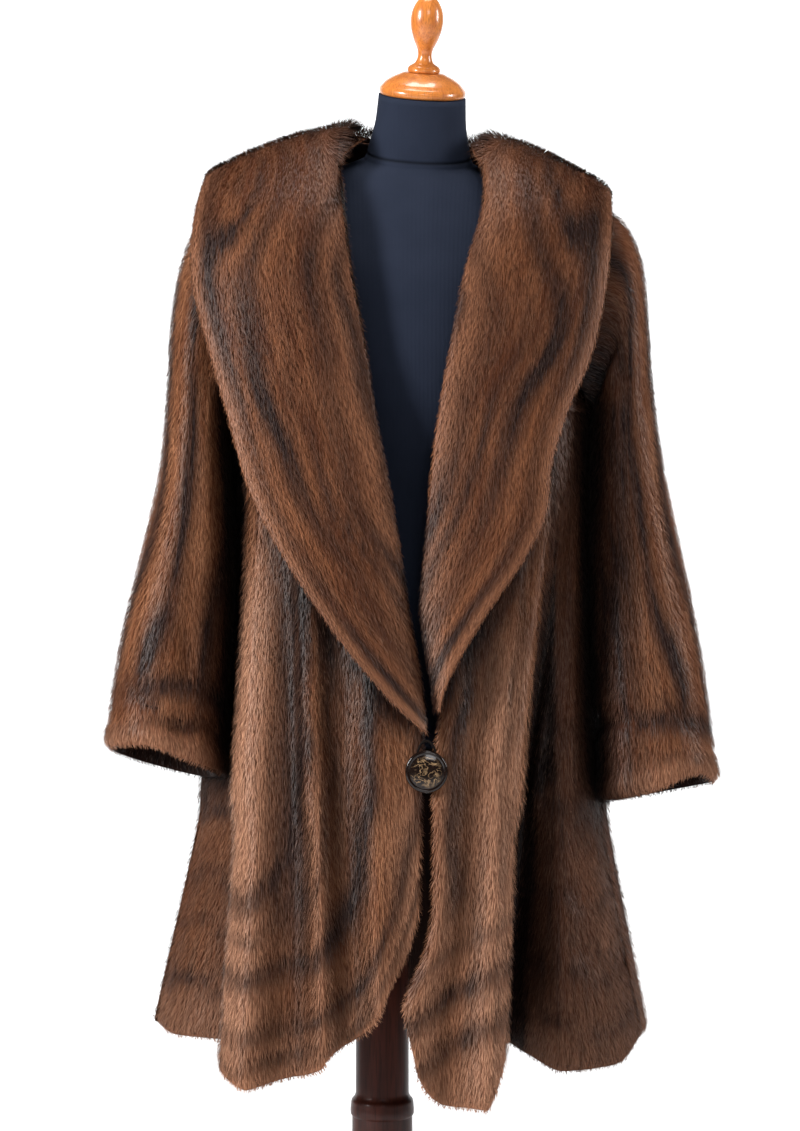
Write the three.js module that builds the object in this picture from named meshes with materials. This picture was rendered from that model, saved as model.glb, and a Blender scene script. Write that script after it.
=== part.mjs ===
import * as THREE from "three";

// A fur coat with a large shawl collar, on a limbless dress form with a turned pole and base.
// Millimetres. The floor is Z = 0, the coat faces -Y, and left is the wearer's left, at +X.
// The pole stands on the Z axis; the torso and the coat on it lean towards +X.

// Driving sizes of the coat
const peltWall = 12; // skin and pile together
const collarWall = 16; // two skins and the pile
const facingWall = 9;
const seamTrim = 0.014; // of one fold's width, left open on each side of a seam
const clearance = 0.4; // between pieces that lie on each other
const collarSeat = { left: 4.4, right: 5.7 }; // from a front's face to the middle of the collar's rim
const neckLift = 2.7; // the collar stands this much further off the neckline
const hemLevel = 412;
const buttonLevel = 747;
const armpitLevel = 1130;
const shoulderLevel = 1388;
const necklineLevel = 1440;
const backNeckRise = 8; // the centre back of the neckline stands higher than its sides
const armholeSpread = 39; // half of the armhole's width, in degrees round the chest
const formLean = 3.82; // degrees, growing from the armpits to the neck

// Driving sizes of the dress form
const neckPitch = 18; // degrees that the top of the neck looks forward
const neckTop = { x: 45, y: -12, z: 1488 };
const torsoBottom = 760;
const poleRadius = 30;
const lowerPoleRadius = 34;
const poleStep = { top: 363, bottom: 345 };
const baseRadius = 210;
const baseThickness = 30;
const socket = { radius: 56, thickness: 14 };

// Button and its loop
const button = { x: 47.7, z: 744.5, radius: 22.4, thickness: 7, shankRadius: 5 };
const loop = { halfWidth: 10, halfHeight: 19.5, radius: 1.4 };

// Mesh densities
const stepsPerFold = 2;
const skirtRows = 9;
const armholeRows = 10;
const yokeRows = 3;
const stepsPerCollarRow = 2;
const roundSteps = 32;

// Level sections of the coat from the armpits up: an oval round a centre, with its own squareness.
const yoke = [
  { z: 1130, centre: 34, half: 196, front: 138, back: 128, square: 2.4 },
  { z: 1259, centre: 34, half: 194, front: 134, back: 130, square: 2.4 },
  { z: 1340, centre: 38, half: 194, front: 112, back: 120, square: 2.1 },
  { z: 1388, centre: 40, half: 186, front: 84, back: 100, square: 1.75 },
  { z: 1406, centre: 38, half: 160, front: 77, back: 94, square: 1.7 },
  { z: 1416, centre: 36, half: 130, front: 72, back: 89, square: 1.75 },
  { z: 1424, centre: 35, half: 104, front: 69, back: 84, square: 1.85 },
  { z: 1431, centre: 38, half: 85, front: 66, back: 81, square: 2 },
  { z: 1437, centre: 41, half: 72.5, front: 64, back: 76, square: 2 },
  { z: 1446, centre: 43, half: 68, front: 62, back: 71, square: 2 },
];

// Where each front ends above the armpits, in degrees from the centre front.
const neckline = [
  { z: 1130, right: 8.15, left: 4.73 },
  { z: 1195, right: 10.9, left: 8.2 },
  { z: 1259, right: 14.4, left: 10.5 },
  { z: 1340, right: 22, left: 18.8 },
  { z: 1388, right: 29.6, left: 24.5 },
  { z: 1406, right: 34.5, left: 28.5 },
  { z: 1416, right: 40, left: 36 },
  { z: 1424, right: 48, left: 45 },
  { z: 1431, right: 55, left: 51 },
  { z: 1437, right: 63, left: 59 },
  { z: 1446, right: 70, left: 68 },
];

// The X of each front's edge from the hem to the armpits: the V, its closed end and the swing at the hem.
const frontEdge = [
  { z: 390, right: 40, left: 15 },
  { z: 500, right: 42, left: 18 },
  { z: 560, right: 44, left: 40 },
  { z: 610, right: 44.5, left: 48.5 },
  { z: 747, right: 46, left: 50 },
  { z: 806, right: 47.5, left: 57 },
  { z: 910, right: 32, left: 40 },
  { z: 980, right: 22, left: 45 },
  { z: 1060, right: 9, left: 51 },
  { z: 1130, right: -4.5, left: 58.5 },
];

// Folds of the fronts, from the front edge to the side seam. across is the share of that way at the
// chest, x and y the place at the button's height, hemX and hemY at the hem, hemZ the hem's height.
const leftFrontFolds = [
  { across: 0, x: 50, y: -189, hemX: 16, hemY: -214, hemZ: 492 },
  { across: 0.1, x: 70, y: -192.6, hemX: 36, hemY: -225, hemZ: 432 },
  { across: 0.24, x: 98, y: -178, hemX: 74, hemY: -211, hemZ: 392 },
  { across: 0.38, x: 130, y: -181, hemX: 114, hemY: -227, hemZ: 392 },
  { across: 0.48, x: 150, y: -158, hemX: 135, hemY: -192, hemZ: 430 },
  { across: 0.54, x: 150, y: -122, hemX: 122, hemY: -112, hemZ: 434 },
  { across: 0.6, x: 160, y: -94, hemX: 132, hemY: -38, hemZ: 424 },
  { across: 0.67, x: 174, y: -106, hemX: 156, hemY: -76, hemZ: 416 },
  { across: 0.76, x: 198, y: -112, hemX: 194, hemY: -112, hemZ: 406 },
  { across: 0.88, x: 226, y: -70, hemX: 262, hemY: -78, hemZ: 407 },
  { across: 1, x: 241, y: -14, hemX: 302, hemY: -14, hemZ: 428 },
];
const rightFrontFolds = [
  { across: 0, x: 46, y: -189, hemX: 40, hemY: -206, hemZ: 598 },
  { across: 0.05, x: 28, y: -189, hemX: 24, hemY: -212, hemZ: 540 },
  { across: 0.12, x: -8, y: -193, hemX: 4, hemY: -222, hemZ: 494 },
  { across: 0.22, x: -42, y: -173, hemX: -28, hemY: -203, hemZ: 457 },
  { across: 0.31, x: -68, y: -185, hemX: -58, hemY: -222, hemZ: 436 },
  { across: 0.41, x: -92, y: -163, hemX: -94, hemY: -196, hemZ: 419 },
  { across: 0.54, x: -134, y: -162, hemX: -142, hemY: -216, hemZ: 410 },
  { across: 0.65, x: -158, y: -124, hemX: -178, hemY: -176, hemZ: 422 },
  { across: 0.76, x: -150, y: -64, hemX: -166, hemY: -76, hemZ: 430 },
  { across: 0.88, x: -179, y: -14, hemX: -244, hemY: -14, hemZ: 428 },
  { across: 1, x: -203, y: 40, hemX: -273, hemY: 46, hemZ: 433 },
];
// Folds of the back, from the left side seam to the right one.
const backFolds = [
  { across: 0, x: 241, y: -14, hemX: 302, hemY: -14, hemZ: 428 },
  { across: 0.08, x: 252, y: 46, hemX: 310, hemY: 58, hemZ: 424 },
  { across: 0.16, x: 222, y: 90, hemX: 240, hemY: 106, hemZ: 418 },
  { across: 0.26, x: 204, y: 144, hemX: 222, hemY: 188, hemZ: 412 },
  { across: 0.36, x: 130, y: 150, hemX: 130, hemY: 168, hemZ: 408 },
  { across: 0.46, x: 78, y: 190, hemX: 84, hemY: 245, hemZ: 404 },
  { across: 0.56, x: 14, y: 172, hemX: 10, hemY: 202, hemZ: 404 },
  { across: 0.66, x: -56, y: 188, hemX: -68, hemY: 240, hemZ: 406 },
  { across: 0.76, x: -112, y: 142, hemX: -124, hemY: 160, hemZ: 412 },
  { across: 0.86, x: -160, y: 130, hemX: -192, hemY: 172, hemZ: 418 },
  { across: 0.93, x: -184, y: 82, hemX: -224, hemY: 98, hemZ: 424 },
  { across: 1, x: -203, y: 40, hemX: -273, hemY: 46, hemZ: 433 },
];

// Sections of the sleeves from the shoulder to the cuff. outX and outZ are the outer end of each
// section, inX and inZ the end under the arm, y and depth its middle and half width from front to back,
// and rise lifts its front above its middle.
const rightSleeveRings = [
  { outX: -192, outZ: 1367, inX: -167, inZ: 1118, y: -2, depth: 84, rise: 0 },
  { outX: -221, outZ: 1326, inX: -168, inZ: 1094, y: -5, depth: 82, rise: 0 },
  { outX: -238, outZ: 1255, inX: -168, inZ: 1064, y: -10, depth: 80, rise: 0 },
  { outX: -244, outZ: 1160, inX: -167, inZ: 1024, y: -18, depth: 78, rise: 1 },
  { outX: -252, outZ: 1065, inX: -166, inZ: 974, y: -28, depth: 76, rise: 2 },
  { outX: -273, outZ: 968, inX: -167, inZ: 918, y: -38, depth: 76, rise: 4 },
  { outX: -291, outZ: 888, inX: -170, inZ: 858, y: -46, depth: 76, rise: 8 },
  { outX: -303, outZ: 814, inX: -173, inZ: 790, y: -52, depth: 76, rise: 12 },
  { outX: -308, outZ: 753, inX: -173, inZ: 723, y: -56, depth: 74, rise: 15 },
];
const leftSleeveRings = [
  { outX: 269, outZ: 1355, inX: 236, inZ: 1118, y: -2, depth: 84, rise: 0 },
  { outX: 292, outZ: 1315, inX: 235, inZ: 1094, y: -5, depth: 82, rise: 0 },
  { outX: 301, outZ: 1250, inX: 234, inZ: 1064, y: -10, depth: 80, rise: 0 },
  { outX: 306, outZ: 1165, inX: 233, inZ: 1024, y: -18, depth: 78, rise: 1 },
  { outX: 318, outZ: 1070, inX: 234, inZ: 968, y: -28, depth: 76, rise: 2 },
  { outX: 337, outZ: 972, inX: 236, inZ: 908, y: -38, depth: 76, rise: 3 },
  { outX: 353, outZ: 888, inX: 239, inZ: 842, y: -46, depth: 76, rise: 5 },
  { outX: 366, outZ: 799, inX: 243, inZ: 768, y: -52, depth: 76, rise: 8 },
  { outX: 374, outZ: 716, inX: 247, inZ: 695, y: -56, depth: 74, rise: 9 },
];

// Sections of the collar from its tip to the centre back. z is where a section starts on the front's
// edge, or turn how far round the neckline it starts, in degrees from the front. The edge is the
// collar's free edge, and crown how far the section rises off a straight line between the two.
const rightCollarRows = [
  { z: 782, edgeX: 44, edgeY: -205, edgeZ: 784, crown: 0 },
  { z: 808, edgeX: 11, edgeY: -203, edgeZ: 809, crown: 5 },
  { z: 841, edgeX: -20, edgeY: -197, edgeZ: 843, crown: 8 },
  { z: 877, edgeX: -49, edgeY: -192, edgeZ: 878, crown: 11 },
  { z: 910, edgeX: -77, edgeY: -184, edgeZ: 918, crown: 14 },
  { z: 944, edgeX: -102, edgeY: -176, edgeZ: 955, crown: 15 },
  { z: 987, edgeX: -127, edgeY: -164, edgeZ: 998, crown: 16 },
  { z: 1040, edgeX: -150, edgeY: -150, edgeZ: 1046, crown: 17 },
  { z: 1117, edgeX: -172, edgeY: -132, edgeZ: 1122, crown: 18 },
  { z: 1195, edgeX: -193, edgeY: -114, edgeZ: 1194, crown: 18 },
  { z: 1272, edgeX: -211, edgeY: -98, edgeZ: 1264, crown: 18 },
  { z: 1335, edgeX: -212, edgeY: -80, edgeZ: 1332, crown: 19 },
  { z: 1390, edgeX: -202, edgeY: -36, edgeZ: 1388, crown: 16 },
  { z: 1424, edgeX: -202, edgeY: 0, edgeZ: 1389, crown: 17 },
  { turn: 80, edgeX: -196, edgeY: 38, edgeZ: 1382, crown: 18 },
  { turn: 110, edgeX: -160, edgeY: 104, edgeZ: 1318, crown: 23 },
  { turn: 145, edgeX: -76, edgeY: 148, edgeZ: 1270, crown: 26 },
  { turn: 180, edgeX: 34, edgeY: 160, edgeZ: 1256, crown: 24 },
];
const leftCollarRows = [
  { z: 806, edgeX: 64, edgeY: -203, edgeZ: 808, crown: 0 },
  { z: 832, edgeX: 75, edgeY: -202, edgeZ: 832, crown: 4 },
  { z: 872, edgeX: 98, edgeY: -195, edgeZ: 874, crown: 9 },
  { z: 911, edgeX: 125, edgeY: -186, edgeZ: 917, crown: 13 },
  { z: 956, edgeX: 156, edgeY: -174, edgeZ: 961, crown: 15 },
  { z: 1010, edgeX: 181, edgeY: -158, edgeZ: 1010, crown: 16 },
  { z: 1070, edgeX: 188, edgeY: -146, edgeZ: 1064, crown: 17 },
  { z: 1142, edgeX: 205, edgeY: -130, edgeZ: 1122, crown: 18 },
  { z: 1225, edgeX: 232, edgeY: -112, edgeZ: 1185, crown: 18 },
  { z: 1290, edgeX: 247, edgeY: -102, edgeZ: 1250, crown: 18 },
  { z: 1350, edgeX: 256, edgeY: -84, edgeZ: 1318, crown: 20 },
  { z: 1398, edgeX: 259, edgeY: -36, edgeZ: 1368, crown: 20 },
  { z: 1424, edgeX: 258, edgeY: 0, edgeZ: 1369, crown: 19 },
  { turn: 80, edgeX: 254, edgeY: 38, edgeZ: 1363, crown: 20 },
  { turn: 110, edgeX: 224, edgeY: 104, edgeZ: 1308, crown: 23 },
  { turn: 145, edgeX: 142, edgeY: 148, edgeZ: 1266, crown: 26 },
  { turn: 180, edgeX: 34, edgeY: 160, edgeZ: 1256, crown: 24 },
];

// Level sections of the torso and neck. pitch is how far a section looks forward, shift its way to +Y.
const torsoRings = [
  { z: 760, centre: 0, half: 134, front: 94, back: 98, shift: 0, pitch: 0 },
  { z: 800, centre: 2, half: 142, front: 102, back: 108, shift: 0, pitch: 0 },
  { z: 860, centre: 6, half: 145, front: 106, back: 114, shift: 0, pitch: 0 },
  { z: 940, centre: 11, half: 128, front: 100, back: 100, shift: 0, pitch: 0 },
  { z: 1010, centre: 16, half: 118, front: 96, back: 88, shift: 0, pitch: 0 },
  { z: 1100, centre: 22, half: 132, front: 108, back: 92, shift: 0, pitch: 0 },
  { z: 1190, centre: 28, half: 150, front: 119, back: 104, shift: 0, pitch: 0 },
  { z: 1270, centre: 33, half: 162, front: 112, back: 108, shift: 0, pitch: 0 },
  { z: 1330, centre: 36, half: 164, front: 93, back: 100, shift: 0, pitch: 1 },
  { z: 1372.5, centre: 38, half: 152, front: 75, back: 84, shift: 0, pitch: 3 },
  { z: 1393.6, centre: 39, half: 120, front: 66, back: 74, shift: 0, pitch: 7 },
  { z: 1407.6, centre: 40, half: 84, front: 60, back: 64, shift: -1, pitch: 12 },
  { z: 1416, centre: 41, half: 62, front: 56, back: 58, shift: -2, pitch: 18 },
  { z: 1436, centre: 42, half: 56, front: 54, back: 54, shift: -4, pitch: 19 },
  { z: 1460, centre: 43.5, half: 51, front: 51, back: 51, shift: -8, pitch: 18 },
  { z: 1488, centre: 45, half: 49, front: 49, back: 49, shift: -12, pitch: 18 },
];

const furMaterial = new THREE.MeshStandardMaterial({ color: 0x7a4a2e, roughness: 0.8 });
const collarMaterial = new THREE.MeshStandardMaterial({ color: 0x84512f, roughness: 0.8 });
const facingMaterial = new THREE.MeshStandardMaterial({ color: 0x2e1c14, roughness: 0.9 });
const jerseyMaterial = new THREE.MeshStandardMaterial({ color: 0x22262f, roughness: 0.9 });
const lightWoodMaterial = new THREE.MeshStandardMaterial({ color: 0xd97828, roughness: 0.35 });
const darkWoodMaterial = new THREE.MeshStandardMaterial({ color: 0x35140d, roughness: 0.3 });
const resinMaterial = new THREE.MeshStandardMaterial({ color: 0x1c120c, roughness: 0.15 });
const cordMaterial = new THREE.MeshStandardMaterial({ color: 0x15100e, roughness: 0.7 });
const plateMaterial = new THREE.MeshStandardMaterial({ color: 0x2b2b2e, roughness: 0.5, metalness: 0.6 });

const coatOnForm = new THREE.Group();
const radians = THREE.MathUtils.degToRad;

// A column of a table at a place between its rows, on a smooth line that never overshoots them.
function readTable(table, key, place, column) {
  const last = table.length - 2;
  const after = table.findIndex((row) => place <= row[key]);
  const k = Math.min(Math.max(after < 0 ? last : after - 1, 0), last);
  const slope = (i) => {
    const j = Math.min(Math.max(i, 0), last);
    return (table[j + 1][column] - table[j][column]) / (table[j + 1][key] - table[j][key]);
  };
  const tangent = (i) => {
    const before = slope(i - 1);
    const next = slope(i);
    return before * next > 0 ? (2 * before * next) / (before + next) : 0;
  };
  const span = table[k + 1][key] - table[k][key];
  const t = (place - table[k][key]) / span;
  return hermite(t, table[k][column], tangent(k) * span, table[k + 1][column], tangent(k + 1) * span);
}

function hermite(t, from, fromSlope, to, toSlope) {
  const t2 = t * t;
  const t3 = t2 * t;
  return (
    from * (2 * t3 - 3 * t2 + 1) +
    fromSlope * (t3 - 2 * t2 + t) +
    to * (3 * t2 - 2 * t3) +
    toSlope * (t3 - t2)
  );
}

// A power that keeps the sign, for ovals squarer or rounder than an ellipse.
function signedPower(value, power) {
  return Math.sign(value) * Math.abs(value) ** power;
}

// A point of the coat above the armpits, at an angle from the front, positive to the left.
function yokePoint(z, angle) {
  const turn = radians(angle);
  const power = 2 / readTable(yoke, "z", z, "square");
  const depth = readTable(yoke, "z", z, Math.cos(turn) > 0 ? "front" : "back");
  const out = readTable(yoke, "z", z, "half") * signedPower(Math.sin(turn), power);
  const lean = radians(formLean) * ((z - armpitLevel) / (necklineLevel - armpitLevel));
  return new THREE.Vector3(
    readTable(yoke, "z", z, "centre") + out,
    -depth * signedPower(Math.cos(turn), power),
    z - out * Math.tan(lean),
  );
}

// How far the armhole eats into a panel at a height, in degrees.
function armholeCut(z) {
  const middle = (armpitLevel + shoulderLevel) / 2;
  const half = (shoulderLevel - armpitLevel) / 2;
  return armholeSpread * Math.sqrt(Math.max(0, 1 - ((z - middle) / half) ** 2));
}

const leftFront = {
  folds: leftFrontFolds,
  outward: -1,
  edge: "left",
  top: () => necklineLevel,
  angle: (across, z) => {
    const start = readTable(neckline, "z", z, "left");
    return start + (90 - armholeCut(z) - start) * across;
  },
};
const rightFront = {
  folds: rightFrontFolds,
  outward: 1,
  edge: "right",
  top: () => necklineLevel,
  angle: (across, z) => {
    const start = readTable(neckline, "z", z, "right");
    return -(start + (90 - armholeCut(z) - start) * across);
  },
};
const back = {
  folds: backFolds,
  outward: -1,
  top: (across) => necklineLevel + backNeckRise * Math.sin(Math.PI * across),
  angle: (across, z) => {
    const start = 90 + armholeCut(z);
    return start + (360 - 2 * start) * across;
  },
};

// A coordinate of one fold below the armpits, through its places at chest, button and hem.
function hang(z, chest, atButton, atHem) {
  const skirt = buttonLevel - hemLevel;
  const trunk = armpitLevel - buttonLevel;
  const buttonSlope = (chest - atHem) / (skirt + trunk);
  if (z > buttonLevel) {
    return hermite((z - buttonLevel) / trunk, atButton, buttonSlope * trunk, chest, 0);
  }
  return hermite((z - hemLevel) / skirt, atHem, atButton - atHem, atButton, buttonSlope * skirt);
}

function foldPoint(panel, fold, z) {
  if (z >= armpitLevel) {
    return yokePoint(z, panel.angle(fold.across, z));
  }
  const chest = yokePoint(armpitLevel, panel.angle(fold.across, armpitLevel));
  const point = new THREE.Vector3(
    hang(z, chest.x, fold.x, fold.hemX),
    hang(z, chest.y, fold.y, fold.hemY),
    z,
  );
  const follow = Math.max(0, 1 - fold.across / 0.3);
  if (panel.edge && follow > 0) {
    const first = panel.folds[0];
    const chestEdge = yokePoint(armpitLevel, panel.angle(0, armpitLevel)).x;
    const straight = hang(z, chestEdge, first.x, first.hemX);
    point.x += follow * (readTable(frontEdge, "z", z, panel.edge) - straight);
  }
  return point;
}

// A point of a panel at a height; place counts folds from the first one.
function panelPoint(panel, place, z) {
  const chain = panel.folds.map((fold) => foldPoint(panel, fold, z));
  const curve = new THREE.CatmullRomCurve3(chain, false, "centripetal");
  return curve.getPoint(place / (panel.folds.length - 1));
}

function acrossAt(panel, place) {
  const k = Math.min(Math.floor(place), panel.folds.length - 2);
  const from = panel.folds[k].across;
  return from + (panel.folds[k + 1].across - from) * (place - k);
}

// The outward direction of a grid at one point, from its neighbours.
function gridNormal(grid, row, column, outward, wraps) {
  const columns = grid[0].length;
  const at = (r, c) => {
    const rowIndex = Math.min(Math.max(r, 0), grid.length - 1);
    const columnIndex = wraps ? (c + columns) % columns : Math.min(Math.max(c, 0), columns - 1);
    return grid[rowIndex][columnIndex];
  };
  const across = at(row, column + 1).clone().sub(at(row, column - 1));
  const up = at(row + 1, column).clone().sub(at(row - 1, column));
  return up.cross(across).multiplyScalar(outward).normalize();
}

// A closed wall between two grids of points.
function wallGeometry(outer, inner, wraps) {
  const rows = outer.length;
  const columns = outer[0].length;
  const positions = [...outer.flat(), ...inner.flat()].flatMap((point) => point.toArray());
  const innerStart = rows * columns;
  const index = [];
  const quad = (a, b, c, d) => index.push(a, b, c, a, c, d);
  const at = (r, c) => r * columns + (c % columns);
  const columnEnd = wraps ? columns : columns - 1;
  for (let r = 0; r < rows - 1; r += 1) {
    for (let c = 0; c < columnEnd; c += 1) {
      quad(at(r, c), at(r, c + 1), at(r + 1, c + 1), at(r + 1, c));
      quad(
        innerStart + at(r, c),
        innerStart + at(r + 1, c),
        innerStart + at(r + 1, c + 1),
        innerStart + at(r, c + 1),
      );
    }
  }
  for (let c = 0; c < columnEnd; c += 1) {
    quad(at(0, c), innerStart + at(0, c), innerStart + at(0, c + 1), at(0, c + 1));
    const top = rows - 1;
    quad(at(top, c), at(top, c + 1), innerStart + at(top, c + 1), innerStart + at(top, c));
  }
  if (!wraps) {
    const side = columns - 1;
    for (let r = 0; r < rows - 1; r += 1) {
      quad(at(r, 0), at(r + 1, 0), innerStart + at(r + 1, 0), innerStart + at(r, 0));
      quad(at(r, side), innerStart + at(r, side), innerStart + at(r + 1, side), at(r + 1, side));
    }
  }
  return facingOut(positions, index);
}

// An indexed geometry whose faces point outwards.
function facingOut(positions, index) {
  const corner = (i) => new THREE.Vector3().fromArray(positions, 3 * index[i]);
  let volume = 0;
  for (let i = 0; i < index.length; i += 3) {
    volume += corner(i).dot(corner(i + 1).cross(corner(i + 2)));
  }
  if (volume < 0) {
    index.reverse();
  }
  const geometry = new THREE.BufferGeometry();
  geometry.setAttribute("position", new THREE.Float32BufferAttribute(positions, 3));
  geometry.setIndex(index);
  geometry.computeVertexNormals();
  return geometry;
}

function addMesh(name, geometry, material) {
  const mesh = new THREE.Mesh(geometry, material);
  mesh.name = name;
  coatOnForm.add(mesh);
  return mesh;
}

// Heights of a panel's grid rows at one column, from the hem to the neckline.
function panelHeights(hem, top) {
  const heights = [];
  for (let j = 0; j < skirtRows; j += 1) {
    heights.push(hem + (armpitLevel - hem) * (j / skirtRows) ** 1.1);
  }
  const middle = (armpitLevel + shoulderLevel) / 2;
  for (let j = 0; j <= armholeRows; j += 1) {
    heights.push(middle - (middle - armpitLevel) * Math.cos((Math.PI * j) / armholeRows));
  }
  for (let j = 1; j <= yokeRows; j += 1) {
    heights.push(shoulderLevel + ((top - shoulderLevel) * j) / yokeRows);
  }
  return heights;
}

// Front and back panels: a grid over the folds, and a second one a wall further in.
function addPanel(name, panel) {
  const folds = panel.folds.length - 1;
  const places = [];
  for (let i = 0; i <= folds * stepsPerFold; i += 1) {
    places.push(i / stepsPerFold);
  }
  places[places.length - 1] -= seamTrim;
  if (!panel.edge) {
    places[0] += seamTrim;
  }
  const columns = places.map((place) => {
    const across = acrossAt(panel, place);
    const hem = readTable(panel.folds, "across", across, "hemZ");
    return panelHeights(hem, panel.top(across)).map((z) => panelPoint(panel, place, z));
  });
  const outer = columns[0].map((_, row) => columns.map((column) => column[row]));
  const sideways = new THREE.Vector3(0, 1, 0);
  const inner = outer.map((line, row) =>
    line.map((point, column) => {
      let normal = gridNormal(outer, row, column, panel.outward, false);
      const onSeam = column === line.length - 1 || (!panel.edge && column === 0);
      if (onSeam) {
        const below = outer[Math.max(row - 1, 0)][column];
        const above = outer[Math.min(row + 1, outer.length - 1)][column];
        const flat = above.clone().sub(below).setY(0).cross(sideways).normalize();
        normal = flat.multiplyScalar(Math.sign(flat.dot(normal)));
      }
      return point.clone().addScaledVector(normal, -peltWall);
    }),
  );
  addMesh(name, wallGeometry(outer, inner, false), furMaterial);
}

addPanel("back", back);
addPanel("front_left", leftFront);
addPanel("front_right", rightFront);

// A sleeve hangs from the edge of its armhole, and its rings run down to the cuff.
function sleeveRings(side, rings) {
  const steps = 2 * armholeRows;
  const middle = (armpitLevel + shoulderLevel) / 2;
  const half = (shoulderLevel - armpitLevel) / 2;
  const armholeRing = (share) =>
    Array.from({ length: steps }, (_, i) => {
      const turn = (2 * Math.PI * i) / steps;
      const z = middle + half * share * Math.cos(turn);
      const angle = 90 - armholeSpread * share * Math.sin(turn);
      const point = yokePoint(z, side * angle);
      point.x += side * (clearance + 0.4);
      return point;
    });
  const hangingRing = (ring) =>
    Array.from({ length: steps }, (_, i) => {
      const turn = (2 * Math.PI * i) / steps;
      const lengthwise = Math.cos(turn);
      const forward = Math.sin(turn);
      return new THREE.Vector3(
        (ring.outX + ring.inX) / 2 + ((ring.outX - ring.inX) / 2) * lengthwise,
        ring.y - ring.depth * forward,
        (ring.outZ + ring.inZ) / 2 + ((ring.outZ - ring.inZ) / 2) * lengthwise + ring.rise * forward,
      );
    });
  const outer = [armholeRing(1), ...rings.map(hangingRing)];
  const normals = outer.map((ring, r) => ring.map((_, c) => gridNormal(outer, r, c, -side, true)));
  const inner = outer.map((ring, r) =>
    ring.map((point, c) => point.clone().addScaledVector(normals[r][c], -peltWall)),
  );
  inner[0] = armholeRing(1 - (2.2 * peltWall) / (shoulderLevel - armpitLevel));
  return { outer, inner, normals };
}

function addSleeve(name, side, rings) {
  const { outer, inner, normals } = sleeveRings(side, rings);
  addMesh(`sleeve_${name}`, wallGeometry(outer, inner, true), furMaterial);
  // The fur turned up inside the cuff, one clearance inside the sleeve's wall.
  const last = outer.length - 1;
  const layer = (share, depth) =>
    outer[last].map((point, c) => {
      const normal = normals[last][c].clone().lerp(normals[last - 1][c], share);
      return point.clone().lerp(outer[last - 1][c], share).addScaledVector(normal, -depth);
    });
  const shares = [0.03, 0.88];
  const facingFace = peltWall + 2 * clearance;
  const outerFacing = shares.map((share) => layer(share, facingFace));
  const innerFacing = shares.map((share) => layer(share, facingFace + facingWall));
  addMesh(`cuff_facing_${name}`, wallGeometry(outerFacing, innerFacing, true), facingMaterial);
}

addSleeve("left", 1, leftSleeveRings);
addSleeve("right", -1, rightSleeveRings);

// A collar half lies on the front's edge and the neckline, and falls to its free edge.
function addCollar(name, panel, side, rows) {
  const liftOff = collarSeat[name];
  const startPoint = (row) => {
    if (row.turn === undefined) {
      const place = panelPoint(panel, 0, row.z);
      const beside = panelPoint(panel, 0.2, row.z).sub(place);
      const above = panelPoint(panel, 0, row.z + 4).sub(place);
      const out = above.cross(beside).multiplyScalar(panel.outward).normalize();
      return place.addScaledVector(out, liftOff);
    }
    const rise = backNeckRise * Math.max(0, Math.sin(radians(row.turn - 90)));
    const place = yokePoint(necklineLevel + rise, side * row.turn);
    const beside = yokePoint(necklineLevel + rise, side * (row.turn + 3)).sub(place);
    const below = yokePoint(necklineLevel + rise - 4, side * row.turn).sub(place);
    const out = below.cross(beside).multiplyScalar(side).normalize();
    return place.addScaledVector(out, liftOff + neckLift);
  };
  const start = new THREE.CatmullRomCurve3(rows.map(startPoint), false, "centripetal");
  const edges = rows.map((row) => new THREE.Vector3(row.edgeX, row.edgeY, row.edgeZ));
  const edge = new THREE.CatmullRomCurve3(edges, false, "centripetal");
  const last = rows.length - 1;
  const numbered = rows.map((row, at) => ({ at, crown: row.crown }));

  // One section: its points run from the start to the free edge, closer together near both.
  const section = (place) => {
    const from = start.getPoint(place / last);
    const to = edge.getPoint(place / last);
    const width = from.distanceTo(to);
    const round = Math.min(collarWall / 2, width / 3);
    const near = [0, 0.25 * round, round];
    const between = [1, 2, 3, 4, 5].map((k) => round + ((width - 2 * round) * k) / 6);
    const far = near.map((d) => width - d).reverse();
    const distances = [...near, ...between, ...far];
    const crown = readTable(numbered, "at", place, "crown");
    const along = start.getPoint(Math.min(place + 0.1, last) / last).lerp(
      edge.getPoint(Math.min(place + 0.1, last) / last), 0.5,
    );
    const behind = start.getPoint(Math.max(place - 0.1, 0) / last).lerp(
      edge.getPoint(Math.max(place - 0.1, 0) / last), 0.5,
    );
    const lift = along.sub(behind).cross(to.clone().sub(from)).multiplyScalar(-side).normalize();
    const middle = distances.map((d) => {
      const share = d / width;
      return from.clone().lerp(to, share).addScaledVector(lift, crown * (4 * share * (1 - share)) ** 0.7);
    });
    const halves = distances.map((d) => {
      const depth = Math.max(0, round - Math.min(d, width - d));
      return Math.max((round * Math.sqrt(1 - (depth / round) ** 2) * collarWall) / 2 / round, 0.8);
    });
    return { middle, halves };
  };

  const places = [];
  for (let i = 0; i <= last * stepsPerCollarRow; i += 1) {
    places.push(i / stepsPerCollarRow);
  }
  places[places.length - 1] -= seamTrim;
  const sections = places.map(section);
  const middle = sections.map((one) => one.middle);
  const layer = (sign) =>
    middle.map((line, row) =>
      line.map((point, column) => {
        const normal = gridNormal(middle, row, column, -side, false);
        if (row === middle.length - 1) {
          normal.setX(0).normalize();
        }
        return point.clone().addScaledVector(normal, sign * sections[row].halves[column]);
      }),
    );
  addMesh(`collar_${name}`, wallGeometry(layer(1), layer(-1), false), collarMaterial);
}

addCollar("left", leftFront, 1, leftCollarRows);
addCollar("right", rightFront, -1, rightCollarRows);

// The button stands off both fronts on its shank, and the loop from the right front goes round it.
function buttonSeat() {
  const faces = [leftFront, rightFront].map((panel) => panelPoint(panel, 0.2, button.z).y);
  return Math.min(...faces) - clearance;
}

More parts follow.
